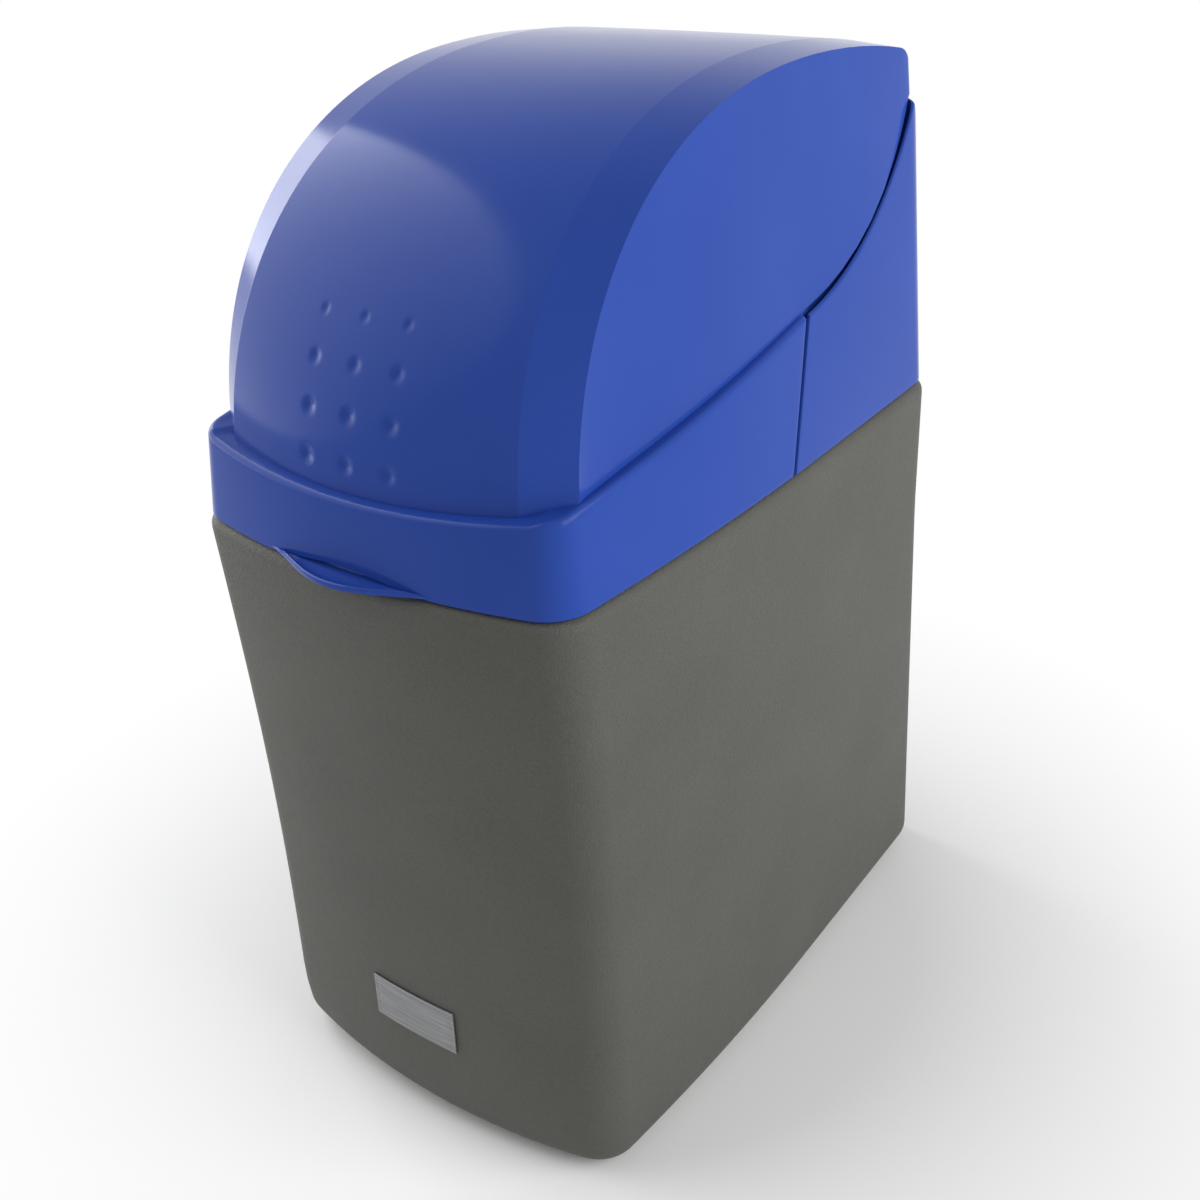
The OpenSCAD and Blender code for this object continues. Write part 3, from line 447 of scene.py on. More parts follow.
def cabinet_ring(half, d, z):
    """One level of the cabinet, set in by d from its widest outline."""
    out = []
    for x, y, nx, ny in half:
        px, py = x - (d - SHOULDER_OUT) * nx, y - (d - SHOULDER_OUT) * ny
        px += SIDE_FLARE * nx * max(1 - z / BODY_H, 0)
        out.append((px, py + hollow(z) * max(-py / FRONT, 0) + lean(y, z), z))
    return both_sides(out)


def upstand_places():
    """Inset and height above the shoulder, from the shoulder over the upstand and down inside."""
    inner = UPSTAND_IN + UPSTAND_WALL
    return ((UPSTAND_IN - FILLET, 0), (UPSTAND_IN, FILLET), (UPSTAND_IN, UPSTAND_H - EDGE_DOWN),
            (UPSTAND_IN + EDGE_IN, UPSTAND_H), (inner - EDGE_IN, UPSTAND_H),
            (inner, UPSTAND_H - EDGE_DOWN), (inner, -HAUNCH_TOP), (BODY_WALL, -HAUNCH_LOW))


def make_cabinet():
    half = front_half(14, 10, 12) + rear_half(9)
    places = []
    for i in range(11):
        a = math.radians(90 * i / 10)
        places.append((FOOT_R * (1 - math.sin(a)), FOOT_R * (1 - math.cos(a))))
    for i in range(1, 25):
        places.append((0, FOOT_R + (BODY_H - FOOT_R - SHOULDER_R) * i / 24))
    for i in range(1, 8):
        a = math.radians(90 * i / 7)
        places.append((SHOULDER_R * (1 - math.cos(a)), BODY_H - SHOULDER_R * (1 - math.sin(a))))
    places += [(d, BODY_H + h) for d, h in upstand_places()]
    places += [(BODY_WALL, z) for z in WALL_LEVELS]
    places += [INNER_FOOT, (FOOT_R, FLOOR_T)]
    obj = sheet_from_rows("cabinet_skin", [cabinet_ring(half, d, z) for d, z in places], loop=True)
    close_ends(obj)
    smooth(obj, 32)
    return obj


# Lid: the dome with its front panel and bevel strips, the skirt band with its ledge, and the finger lip

def ledge_h(y):
    """Height of the ledge above the rim: a quick rise round the corner, then a slow one along the side."""
    run = y + FRONT
    if run < LEDGE_RUN:
        return BAND_FRONT_H + LEDGE_RISE * run / LEDGE_RUN
    run -= LEDGE_RUN
    return BAND_FRONT_H + LEDGE_RISE + LEDGE_SLOPE * run + LEDGE_SWEEP * (run / 100) ** 2


def seam_low(y, r):
    """Height of the curved seam on radius r."""
    return SEAM_Z - math.sqrt(max(r * r - (y - SEAM_Y) ** 2, 1.0))


def lid_bottom(y):
    """Lower edge of the lid's side wall."""
    if y < SEAM_START_Y:
        return RIM + ledge_h(y) - LEDGE_R
    if y < SEAM_END_Y:
        return seam_low(y, SEAM_HIGH_R)
    return RIM + REAR_EDGE_H + REAR_EDGE_RISE * min((y - SEAM_END_Y) / REAR_EDGE_RUN, 1)


def foot_in(y):
    """Inset of the lid's side wall at the rim."""
    if y < 0:
        return SEAM_IN + (SIDE_IN - SEAM_IN) * min(-y / SIDE_RUN, 1)
    return SEAM_IN * max(1 - y / FLUSH_Y, 0)


def roof_fall(back):
    return ROOF_FALL * (back / 100) ** 2


def roof_flare(back):
    return 1 + LID_FLARE / OUTER_X * back / (LID_REAR - CREST)


def power(v):
    return max(v, 0.0) ** DOME_E


def dome_point(t, x, bow, crown):
    return (x, CREST - (DOME_REACH - bow) * power(math.cos(t)),
            RIM + SPRING_H + (DOME_H - crown) * power(math.sin(t)))


PANEL_F = (0.08, 0.2, 0.35, 0.5, 0.65, 0.8, 0.92, 0.985, 0.995, 1.0)
STRIP_F = (0.02, 0.06, 0.25, 0.5, 0.75, 0.94, 0.98, 1.0)
SIDE_F = (0.004, 0.012, 0.05, 0.15, 0.3, 0.5, 0.7, 0.85, 0.95, 0.99, 1.0)


def arch_half_row(t):
    """Panel and strip at turn t of the arch, from the middle plane to the right crease."""
    u = t / (math.pi / 2)
    strip = STRIP_W + STRIP_GROWTH * u
    xi = OUTER_X - CREASE_IN * u - CREASE_HOLLOW * u * (1 - u) - strip
    bow = PANEL_BOW + BOW_GROWTH * u
    flat = 4 * PANEL_FLAT * u * (1 - u)
    row = []
    for x in [FINE_STEP * i for i in range(FINE_COUNT)] + [FINE_END + f * (xi - FINE_END) for f in PANEL_F]:
        w = (x / xi) ** 2
        row.append(dome_point(t, x, flat + (bow - flat) * w, PANEL_CROWN * w))
    for f in STRIP_F:
        set_in = bow + (PANEL_BOW + STRIP_SET - bow) * f
        row.append(dome_point(t, xi + f * strip, set_in, PANEL_CROWN + STRIP_FALL * f))
    return row


def dome_half_row(t, roof_y=None, drop=0.0):
    """One row of the lid: over the arch, or over the roof at roof_y, then down the side wall."""
    row = arch_half_row(t)
    if roof_y is not None:
        back = roof_y - CREST
        row = [(p[0] * roof_flare(back), roof_y, p[2] - roof_fall(back) - drop) for p in row]
    forward = 1 - t / (math.pi / 2)
    x, y, z = row[-1]
    base = (side_x(y) - foot_in(y), y + FOOT_BACK * forward, RIM + FOOT_H)
    low = lid_bottom(y + FOOT_BACK / 2 * forward)
    end = min(max((z - low) / (z - base[2]), 0.02), 1.0)
    for f in SIDE_F:
        w = f * end
        row.append((x + (base[0] - x) * w, y + (base[1] - y) * w, z + (base[2] - z) * w))
    return row


DIMPLES = [(DIMPLE_MID + DIMPLE_PITCH * k, z, r) for k in (-1, 0, 1) for z, r in DIMPLE_ROWS]


def dimple_in(p):
    """Moves a point of the front panel into a dimple."""
    x, y, z = p
    if abs(x) > FINE_END - 0.2 or y > DIMPLE_TOP_Y:
        return p
    for cx, cz, r in DIMPLES:
        d = math.hypot(x - cx, (z - cz) * DIMPLE_SLOPE) / r / DIMPLE_EDGE
        if d < 1:
            depth = DIMPLE_DEPTH * r / DIMPLE_MEAN_R * (0.5 + 0.5 * math.cos(math.pi * d))
            return (x, y + depth, z - DIMPLE_SINK * depth)
    return p


ROOF_Y = (34, 48, 64, 80, 96, 110, 119, 123)
ROOF_EDGE = ((125.5, 0.35), (128, 1.2), (130.2, 2.7), (131.6, 4.4), (LID_REAR, 6.2))


def dome_rows():
    """Rows from the foot of the panel over the crest to the rear edge, close together at the dimples."""
    turns = [0, 2, 4] + [5 + 0.34 * i for i in range(84)] + [33.5 + 2.02 * i for i in range(1, 28)] + [90]
    rows = [[dimple_in(p) for p in across(dome_half_row(math.radians(t)))] for t in turns]
    for y in ROOF_Y:
        rows.append(across(dome_half_row(math.pi / 2, y)))
    for y, drop in ROOF_EDGE:
        rows.append(across(dome_half_row(math.pi / 2, y, drop)))
    return rows


def rear_rows(last):
    """Rear wall of the lid, between the two side walls of the last row and below its crest."""
    n = len(SIDE_F)
    left = last[:n + 1][::-1]
    right = last[-n - 1:]
    crest = last[n:len(last) - n]
    rows = [crest]
    for k in range(1, n + 1):
        a, b = left[k], right[k]
        row = []
        for p in crest:
            s = (p[0] - crest[0][0]) / (crest[-1][0] - crest[0][0])
            lift = (p[2] - crest[0][2]) * max(1 - CREST_EASE * k / n, 0)
            row.append((a[0] + (b[0] - a[0]) * s, LID_REAR, a[2] + (b[2] - a[2]) * s + lift))
        row[0], row[-1] = a, b
        rows.append(row)
    return rows


def make_dome():
    rows = dome_rows()
    top = sheet_from_rows("lid_dome", rows)
    back = sheet_from_rows("lid_rear", rear_rows(rows[-1]))
    dome = unite([top, back], "lid_dome")
    weld(dome)
    face_out(dome, (0, 0, RIM + 60))
    wall(dome, HOOD_WALL)
    return dome


BAND_RISE = (0, 0.8, 2.5, 6, 11, 17, 24)
LEDGE_TURN = (0, 25, 50, 72, 90)
LEDGE_IN = (0.22, 0.6, 1.0)
BAND_F = (0.15, 0.3, 0.45, 0.6, 0.75, 0.88, 0.96, 0.99, 1.0)


def band_place(k, y, low, reach):
    """Height and inset of row k of the band: skirt, rounded ledge edge, then the ledge up to the dome."""
    top = ledge_h(y)
    if k < len(BAND_RISE):
        h = low + BAND_RISE[k] * (top - 2 * LEDGE_R - low) / BAND_SPAN
        return h, DRAFT * h
    k -= len(BAND_RISE)
    face = DRAFT * (top - LEDGE_R)
    if k < len(LEDGE_TURN):
        a = math.radians(LEDGE_TURN[k])
        return top - LEDGE_R * (1 - math.sin(a)), face + LEDGE_R * (1 - math.cos(a))
    start = face + LEDGE_R
    return top + LEDGE_LIFT, start + (reach - start) * LEDGE_IN[k - len(LEDGE_TURN)]


def band_front_point(k, x, y, nx, ny):
    """Point of row k round the front and the corner; the ledge runs in towards one point."""
    low = LIP_RAISE * swell(x, LIP_RAISE_HALF) if y < LIP_ZONE_Y else 0.0
    h, d = band_place(k, y, low, LEDGE_REACH + LEDGE_CORNER * (nx * ny) ** 2)
    edge = min(d, DRAFT * (ledge_h(y) - LEDGE_R) + LEDGE_R)
    px, py = x - edge * nx, y - edge * ny
    inward = (d - edge) / math.hypot(px, py - LEDGE_AIM_Y)
    return (px - inward * px, py - inward * (py - LEDGE_AIM_Y), RIM + h)


def band_side_point(k, f, y0):
    """Point of row k along the side, at share f of the way from y0 to the leaning seam."""
    y = y0 * (1 - f)
    for _ in range(4):
        h, d = band_place(k, y, 0.0, LEDGE_SIDE)
        end = SEAM_FOOT_Y - SEAM_GAP / 2 + SEAM_LEAN * min(h, SEAM_KNEE_H)
        y = y0 + (end - y0) * f
    return (side_x(y) - d, y, RIM + h)


def make_band():
    keep = [p for p in front_half(30, 12, 8) if p[1] < BAND_TURN_Y]
    rows = []
    for k in range(len(BAND_RISE) + len(LEDGE_TURN) + len(LEDGE_IN)):
        line = [band_front_point(k, *p) for p in keep]
        line += [band_side_point(k, f, keep[-1][1]) for f in BAND_F]
        rows.append(across(line))
    band = sheet_from_rows("lid_band", rows)
    face_out(band, (0, LEDGE_AIM_Y, RIM + 20))
    wall(band, HOOD_WALL)
    soften(band)
    return band


# Section of the lip: points behind the rim, then inset from the edge, height and swell, then the underside

LIP_ROOT = ((5.2, 6.5), (3.9, 6.5), (3.2, 3.2), (2.2, 2.4))
LIP_EDGE = ((3.2, 2.0, 0.2), (2.2, 2.2, 1.0), (1.2, 2.3, 1.6), (0.4, 2.2, 1.4), (0.0, 2.0, 0.4),
            (0.3, 1.0, 0.0), (1.2, 0.5, 0.0))
LIP_UNDER = ((2.4, 0.5), (5.2, 0.6))
LIP_SCOOP = (0.45, 1.9)
LIP_SWELL_REACH = 3.0


def make_lip():
    """Scooped finger lip; its ends run out inside the wall of the band."""
    rows = []
    for i in range(LIP_STEPS + 1):
        x = LIP_HALF * (2 * i / LIP_STEPS - 1)
        y = rim_y(x)
        b = LIP_REACH * swell(x, LIP_HALF) - LIP_TUCK
        rise = min(max(b / LIP_SWELL_REACH, 0.0), 1.0)
        ring = [(x, y + back, RIM + h) for back, h in LIP_ROOT]
        ring.append((x, y - max(b * LIP_SCOOP[0], LIP_END), RIM + LIP_SCOOP[1]))
        ring += [(x, y - max(b - inset, LIP_END), RIM + h + more * rise) for inset, h, more in LIP_EDGE]
        ring += [(x, y + back, RIM + h) for back, h in LIP_UNDER]
        rows.append(ring)
    lip = sheet_from_rows("lid_lip", rows, loop=True)
    close_ends(lip)
    return lip


def make_lid():
    parts = [make_dome(), make_band(), make_lip()]
    for side in (-1, 1):
        x0, x1 = side * HINGE_X - KNUCKLE_L / 2, side * HINGE_X + KNUCKLE_L / 2
        parts.append(knuckle(x0, x1))
        parts.append(block((x0 + ARM_IN, LID_REAR - ARM_SINK, HINGE_Z - ARM_LOW),
                           (x1 - ARM_IN, HINGE_Y, HINGE_Z + ARM_HIGH), KNUCKLE_EDGE))
    lid = unite(parts, "lid_shell")
    smooth(lid, 42)
    return lid


# Rear cover: drafted sides under the curved seam, round rear corners, rounded top edge and a narrow roof

COVER_SIDE_F = (0, 0.008, 0.03, 0.08, 0.16, 0.25, 0.34, 0.43, 0.52, 0.61, 0.7, 0.78, 0.86, 0.92, 0.96)
COVER_TURN_F = (0, 0.07, 0.13, 0.2, 0.3, 0.4, 0.5, 0.6, 0.7, 0.8, 0.9, 1.0)
COVER_LEVELS = (0, 0.01, 0.05, 0.15, 0.3, 0.45, 0.6, 0.75, 0.88, 0.96, 1.0)
COVER_BENDS = (15, 30, 45, 60, 75, 90)
COVER_ROOF_F = (0.5, 0.9, 1.0)
COVER_REAR_F = (0.8, 0.55, 0.3, 0.0)


def cover_draft(y):
    """Draft of the cover's side, which eases towards the rear corner."""
    return DRAFT - (DRAFT - REAR_DRAFT) * min(max(y / REAR_TURN, 0), 1)


def side_column(f):
    """Foot, top, outward direction, height, roof depth and draft of a column on the right side."""
    low, high = SEAM_FOOT_Y + SEAM_GAP / 2, SEAM_KNEE_Y + SEAM_GAP / 2
    y_low, y_top = low + (REAR_TURN - low) * f, high + (REAR_TURN - high) * f
    return ((HALF_W, y_low), (HALF_W, y_top), (1.0, 0.0), seam_low(y_top, SEAM_LOW_R), COVER_THIN,
            cover_draft(y_top))


def corner_column(f):
    """The same for a column on the round rear corner."""
    a = math.radians(90 * f)
    n = (math.cos(a), math.sin(a))
    place = (HALF_W - REAR_R + REAR_R * n[0], REAR_TURN + REAR_R * n[1])
    top = COVER_TOP
    if place[1] < COVER_STEP_Y:
        top = seam_low(place[1], SEAM_LOW_R)
    elif place[1] < LID_REAR:
        top -= COVER_STEP * (LID_REAR - place[1]) / (LID_REAR - COVER_STEP_Y)
    depth = max(COVER_THIN, REAR_R - COVER_ROOF / max(n[1], 0.05))
    return place, place, n, top, depth, REAR_DRAFT


def cover_point(k, column):
    """Point of row k on one column: up the wall, round the top edge, then in along the roof."""
    low, high, n, top, depth, draft = column
    r = min(COVER_R, depth)
    if k < len(COVER_LEVELS):
        z, d = RIM + (top - r - RIM) * COVER_LEVELS[k], 0.0
    elif k < len(COVER_LEVELS) + len(COVER_BENDS):
        a = math.radians(COVER_BENDS[k - len(COVER_LEVELS)])
        z, d = top - r * (1 - math.sin(a)), r * (1 - math.cos(a))
    else:
        z, d = top, r + (depth - r) * COVER_ROOF_F[k - len(COVER_LEVELS) - len(COVER_BENDS)]
    w = (z - RIM) / (top - RIM)
    x = low[0] + (high[0] - low[0]) * w - draft * (z - RIM) - d * n[0]
    return (x, low[1] + (high[1] - low[1]) * w - d * n[1], z)


def lid_side(y, z):
    """Outer face of the lid's side wall behind the crest."""
    back = max(y - CREST, 0.0)
    top_x = (OUTER_X - CREASE_IN) * roof_flare(back)
    top_z = RIM + SPRING_H + DOME_H - PANEL_CROWN - STRIP_FALL - roof_fall(back)
    base_x = HALF_W - foot_in(max(y, 0.0))
    return base_x + (top_x - base_x) * (z - RIM - FOOT_H) / (top_z - RIM - FOOT_H)


def make_flange(side):
    """Joggled flange of the cover: it stands up behind the lid's side along the curved seam."""
    rows = [[] for _ in range(6)]
    for i in range(FLANGE_STEPS + 1):
        y = FLANGE_Y + FLANGE_RUN * i / FLANGE_STEPS
        z = seam_low(y, SEAM_R)
        inner = HALF_W - cover_draft(y) * (z - RIM) - COVER_WALL
        places = [(inner + 2.2, -9), (inner + 1.2, -5), (min(inner, lid_side(y, z) - FLANGE_SET), -2)]
        places += [(lid_side(y, z + lift) - FLANGE_SET, lift) for lift in (2, 5, 8)]
        for row, (x, lift) in zip(rows, places):
            row.append((side * x, y, z + lift))
    flange = sheet_from_rows("cover_flange", rows)
    face_out(flange, (0, 60, RIM + 80))
    wall(flange, FLANGE_WALL)
    return flange


def cover_ears(side):
    """Two knuckles either side of the lid's own, each on a foot."""
    parts = []
    inner = HINGE_X - KNUCKLE_L / 2 - EAR_GAP - EAR_L
    outer = HINGE_X + KNUCKLE_L / 2 + EAR_GAP
    for x in (inner, outer):
        x0, x1 = sorted((side * x, side * (x + EAR_L)))
        parts.append(knuckle(x0, x1))
        parts.append(block((x0, HINGE_Y - EAR_HALF, COVER_TOP - EAR_SINK),
                           (x1, HINGE_Y + EAR_HALF, HINGE_Z), EAR_EDGE))
    return parts


def make_cover():
    columns = [side_column(f) for f in COVER_SIDE_F] + [corner_column(f) for f in COVER_TURN_F]
    rows = []
    for k in range(len(COVER_LEVELS) + len(COVER_BENDS) + len(COVER_ROOF_F)):
        line = [cover_point(k, column) for column in columns]
        x, y, z = line[-1]
        line += [(x * f, y, z) for f in COVER_REAR_F]
        rows.append(across(line[::-1]))
    cover = sheet_from_rows("cover_shell", rows)
    face_out(cover, (0, 60, RIM + 60))
    wall(cover, COVER_WALL)
    soften(cover)
    cut_with(cover, block((-WINDOW_HALF, WINDOW_NEAR, WINDOW_LOW), (WINDOW_HALF, WINDOW_FAR, WINDOW_HIGH)))
    parts = [cover, make_flange(1), make_flange(-1)]
    for side in (-1, 1):
        parts += cover_ears(side)
    cover = unite(parts, "cover_shell")
    smooth(cover, 42)
    return cover


# Label plate: thin bowed plate with a stamped border

LABEL_RISE = (0, 0.4, 1.6, 2.0, 2.6, 3.0, 8, 14.5, 21, 26, 26.4, 27.0, 27.4, 28.6, 29)
LABEL_RUN = (0, 4, 8, 12, 16, 20, 24, 26.5, 26.9, 27.5, 27.9, 29.1, 29.5)


def in_groove(x, h):
    return (h in GROOVE_H and x <= GROOVE_X) or (x == GROOVE_X and GROOVE_H[0] <= h <= GROOVE_H[1])


def make_label():
    rows = []
    for h in LABEL_RISE:
        out = SHOULDER_OUT + LABEL_STAND - hollow(LABEL_Z + h)
        rows.append(across([(x, rim_y(x) - out + (GROOVE_DEEP if in_groove(x, h) else 0), LABEL_Z + h)
                            for x in LABEL_RUN]))
    plate = sheet_from_rows("label_face", rows)
    face_out(plate, (0, 0, LABEL_Z + 17))
    wall(plate, LABEL_WALL, even=True)
    round_edges(plate, 0.25, 60)
    smooth(plate, 40)
    return plate


# Finishes

def finish(name):
    mat = bpy.data.materials.new(name)
    mat.use_nodes = True
    nt = mat.node_tree
    bsdf = nt.nodes["Principled BSDF"]
    coord = nt.nodes.new("ShaderNodeTexCoord")
    return mat, nt, bsdf, coord


def noise(nt, coord, scale, detail=3.0):
    n = nt.nodes.new("ShaderNodeTexNoise")
    n.inputs["Scale"].default_value = scale
    n.inputs["Detail"].default_value = detail
    nt.links.new(coord.outputs["Object"], n.inputs["Vector"])
    return n


def strokes(nt, coord, stretch, detail):
    """Noise drawn out into lines by a different scale along each axis."""
    mapping = nt.nodes.new("ShaderNodeMapping")
    mapping.inputs["Scale"].default_value = stretch
    nt.links.new(coord.outputs["Object"], mapping.inputs["Vector"])
    n = nt.nodes.new("ShaderNodeTexNoise")
    n.inputs["Scale"].default_value = 1.0
    n.inputs["Detail"].default_value = detail
    nt.links.new(mapping.outputs["Vector"], n.inputs["Vector"])
    return n


def ramp(nt, source, low, high, p0=0.3, p1=0.7):
    r = nt.nodes.new("ShaderNodeValToRGB")
    r.color_ramp.elements[0].position = p0
    r.color_ramp.elements[1].position = p1
    r.color_ramp.elements[0].color = (*low, 1)
    r.color_ramp.elements[1].color = (*high, 1)
    nt.links.new(source, r.inputs["Fac"])
    return r


def tint(nt, bsdf, source, low, high, p0=0.3, p1=0.7):
    colour = ramp(nt, source, low, high, p0, p1)
    nt.links.new(colour.outputs["Color"], bsdf.inputs["Base Color"])


def spread(nt, source, low, high):
    m = nt.nodes.new("ShaderNodeMapRange")
    m.inputs["To Min"].default_value = low
    m.inputs["To Max"].default_value = high
    nt.links.new(source, m.inputs["Value"])
    return m.outputs["Result"]


def roughen(nt, bsdf, source, low, high):
    nt.links.new(spread(nt, source, low, high), bsdf.inputs["Roughness"])


def bump(nt, bsdf, source, strength, distance, below=None):
    b = nt.nodes.new("ShaderNodeBump")
    b.inputs["Strength"].default_value = strength
    b.inputs["Distance"].default_value = distance
    nt.links.new(source, b.inputs["Height"])
    if below is not None:
        nt.links.new(below.outputs["Normal"], b.inputs["Normal"])
    nt.links.new(b.outputs["Normal"], bsdf.inputs["Normal"])
    return b


def grained_grey():
    """Leather grain: small pebbles with fine wrinkles between them, and painted shade that darkens the
    wrinkles.
    """
    mat, nt, bsdf, coord = finish("grained_grey")
    cells = nt.nodes.new("ShaderNodeTexVoronoi")
    cells.feature = "DISTANCE_TO_EDGE"
    cells.inputs["Scale"].default_value = 620
    warp = noise(nt, coord, 260, 2.0)
    mix = nt.nodes.new("ShaderNodeVectorMath")
    mix.operation = "MULTIPLY_ADD"
    mix.inputs[1].default_value = (0.0022, 0.0022, 0.0022)
    nt.links.new(warp.outputs["Color"], mix.inputs[0])
    nt.links.new(coord.outputs["Object"], mix.inputs[2])
    nt.links.new(mix.outputs["Vector"], cells.inputs["Vector"])
    pebble = ramp(nt, cells.outputs["Distance"], (0, 0, 0), (1, 1, 1), 0.0, 0.22)
    lumps = noise(nt, coord, 420)
    first = bump(nt, bsdf, lumps.outputs["Fac"], 0.4, 0.0006)
    bump(nt, bsdf, pebble.outputs["Color"], 0.36, 0.0004, first)
    tone = noise(nt, coord, 14, 4.0)
    colour = ramp(nt, tone.outputs["Fac"], (0.086, 0.086, 0.077), (0.098, 0.098, 0.088))
    # Painted shade: the colour is multiplied down by up to 16 percent in the wrinkles between the pebbles
    shade = nt.nodes.new("ShaderNodeMixRGB")
    shade.blend_type = "MULTIPLY"
    shade.inputs["Fac"].default_value = 0.16
    nt.links.new(colour.outputs["Color"], shade.inputs[1])
    nt.links.new(pebble.outputs["Color"], shade.inputs[2])
    nt.links.new(shade.outputs["Color"], bsdf.inputs["Base Color"])
    roughen(nt, bsdf, lumps.outputs["Fac"], 0.5, 0.66)
    bsdf.inputs["Specular IOR Level"].default_value = 0.3
    return mat


def gloss_blue():
    """Polished moulding: faint flow marks in the colour and a slight waviness in the gloss."""
    mat, nt, bsdf, coord = finish("gloss_blue")
    flow = noise(nt, coord, 9)
    tint(nt, bsdf, flow.outputs["Fac"], (0.020, 0.062, 0.345), (0.024, 0.070, 0.375))
    fine = noise(nt, coord, 130)
    roughen(nt, bsdf, fine.outputs["Fac"], 0.1, 0.17)
    ripple = noise(nt, coord, 700, 2.0)
    bump(nt, bsdf, ripple.outputs["Fac"], 0.05, 0.0002)
    bsdf.inputs["Specular IOR Level"].default_value = 0.12
    return mat


def brushed_label():
    mat, nt, bsdf, coord = finish("brushed_label")
    lines = strokes(nt, coord, (18, 900, 1600), 4.0)
    tint(nt, bsdf, lines.outputs["Fac"], (0.17, 0.174, 0.178), (0.31, 0.315, 0.32))
    roughen(nt, bsdf, lines.outputs["Fac"], 0.32, 0.5)
    bump(nt, bsdf, lines.outputs["Fac"], 0.12, 0.0001)
    bsdf.inputs["Metallic"].default_value = 0.75
    return mat


def moulded(name, low, high, rough=(0.4, 0.55), grain=900.0, depth=0.0001):
    mat, nt, bsdf, coord = finish(name)
    tone = noise(nt, coord, 25)
    tint(nt, bsdf, tone.outputs["Fac"], low, high)
    fine = noise(nt, coord, grain, 2.0)
    roughen(nt, bsdf, fine.outputs["Fac"], *rough)
    bump(nt, bsdf, fine.outputs["Fac"], 0.2, depth)
    return mat


def metal(name, low, high, rough=(0.22, 0.38), stretch=(40, 40, 1200)):
    mat, nt, bsdf, coord = finish(name)
    marks = strokes(nt, coord, stretch, 3.0)
    tint(nt, bsdf, marks.outputs["Fac"], low, high)
    roughen(nt, bsdf, marks.outputs["Fac"], *rough)
    bump(nt, bsdf, marks.outputs["Fac"], 0.08, 0.00005)
    bsdf.inputs["Metallic"].default_value = 1.0
    return mat


def resin_with_painted_shade():
    mat, nt, bsdf, coord = finish("resin_beads")
    beads = nt.nodes.new("ShaderNodeTexVoronoi")
    beads.inputs["Scale"].default_value = 900
    nt.links.new(coord.outputs["Object"], beads.inputs["Vector"])
    # Painted shade: each bead is light orange in its middle and darkens to brown in the gaps between beads,
    # where shade falls
    tint(nt, bsdf, beads.outputs["Distance"], (0.48, 0.24, 0.05), (0.16, 0.07, 0.012), 0.1, 0.7)
    bump(nt, bsdf, beads.outputs["Distance"], -0.6, 0.0006)
    bsdf.inputs["Roughness"].default_value = 0.3
    return mat


def display_finish():
    mat, nt, bsdf, coord = finish("display_glass")
    tone = noise(nt, coord, 60, 2.0)
    tint(nt, bsdf, tone.outputs["Fac"], (0.16, 0.25, 0.2), (0.2, 0.3, 0.24))
    roughen(nt, bsdf, tone.outputs["Fac"], 0.05, 0.09)
    bsdf.inputs["Coat Weight"].default_value = 0.6
    return mat


def node_finishes():
    """Finish of each material slot whose nodes show as they are."""
    return {
        "steel": metal("turned_steel", (0.5, 0.5, 0.51), (0.66, 0.66, 0.67)),
        "black_plastic": moulded("black_moulding", (0.018, 0.018, 0.02), (0.028, 0.028, 0.03)),
        "vessel_wrap": moulded("wound_vessel", (0.025, 0.028, 0.034), (0.04, 0.043, 0.05),
                               (0.25, 0.42), 500.0, 0.0002),
        "white_plastic": moulded("white_moulding", (0.68, 0.68, 0.65), (0.78, 0.78, 0.75)),
        "resin_beads": resin_with_painted_shade(),
        "seal_rubber": moulded("seal_rubber", (0.008, 0.008, 0.008), (0.016, 0.016, 0.016), (0.65, 0.8)),
        "acetal": moulded("natural_acetal", (0.72, 0.68, 0.58), (0.8, 0.77, 0.68), (0.3, 0.42)),
        "brass": metal("turned_brass", (0.62, 0.43, 0.15), (0.78, 0.58, 0.26), (0.2, 0.34),
                       (1200, 40, 1200)),
        "motor_can": metal("plated_can", (0.48, 0.48, 0.49), (0.6, 0.6, 0.61)),
        "blue_plastic": moulded("blue_moulding", (0.035, 0.09, 0.36), (0.05, 0.12, 0.42)),
        "board_green": moulded("solder_mask", (0.015, 0.11, 0.035), (0.025, 0.16, 0.055), (0.2, 0.35)),
        "display_glass": display_finish(),
        "key_plastic": moulded("grey_keys", (0.46, 0.48, 0.5), (0.55, 0.57, 0.6)),
        "float_orange": moulded("orange_float", (0.66, 0.22, 0.03), (0.78, 0.3, 0.05)),
    }


def put_on(obj, mat):
    obj.data.materials.clear()
    obj.data.materials.append(mat)


def dress_nodes():
    finishes = node_finishes()
    slots = {s["node"]: s["material_slot"] for s in frame["record"]["subparts"]}
    for node, obj in frame["nodes"].items():
        mat = finishes.get(slots.get(node))
        if mat is not None:
            put_on(obj, mat)


def dress(obj, mat, body, slot, *nodes):
    put_on(obj, mat)
    for p in obj.data.polygons:
        p.material_index = 0
    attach(obj, body)
    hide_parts(*nodes)


# Studio: camera at the photograph's place, pale floor, white surroundings and two soft lamps, in metres

SENSOR = 36
PHOTO_PX = 1200
FOCAL_PX = 1404.4855
CAMERA_RIGHT = (0.8143316, 0.5782702, -0.0496748)
CAMERA_DOWN = (0.2512334, -0.4283537, -0.8679832)
CAMERA_AHEAD = (-0.5232073, 0.6943462, -0.4941027)
CAMERA_PLACE = (440.6638, -609.1037, 665.4365)
FLOOR_SIZE = 12
FLOOR_GAP = 0.0002
FLOOR_FADE = (0.2, 0.5)
FILL = 0.3


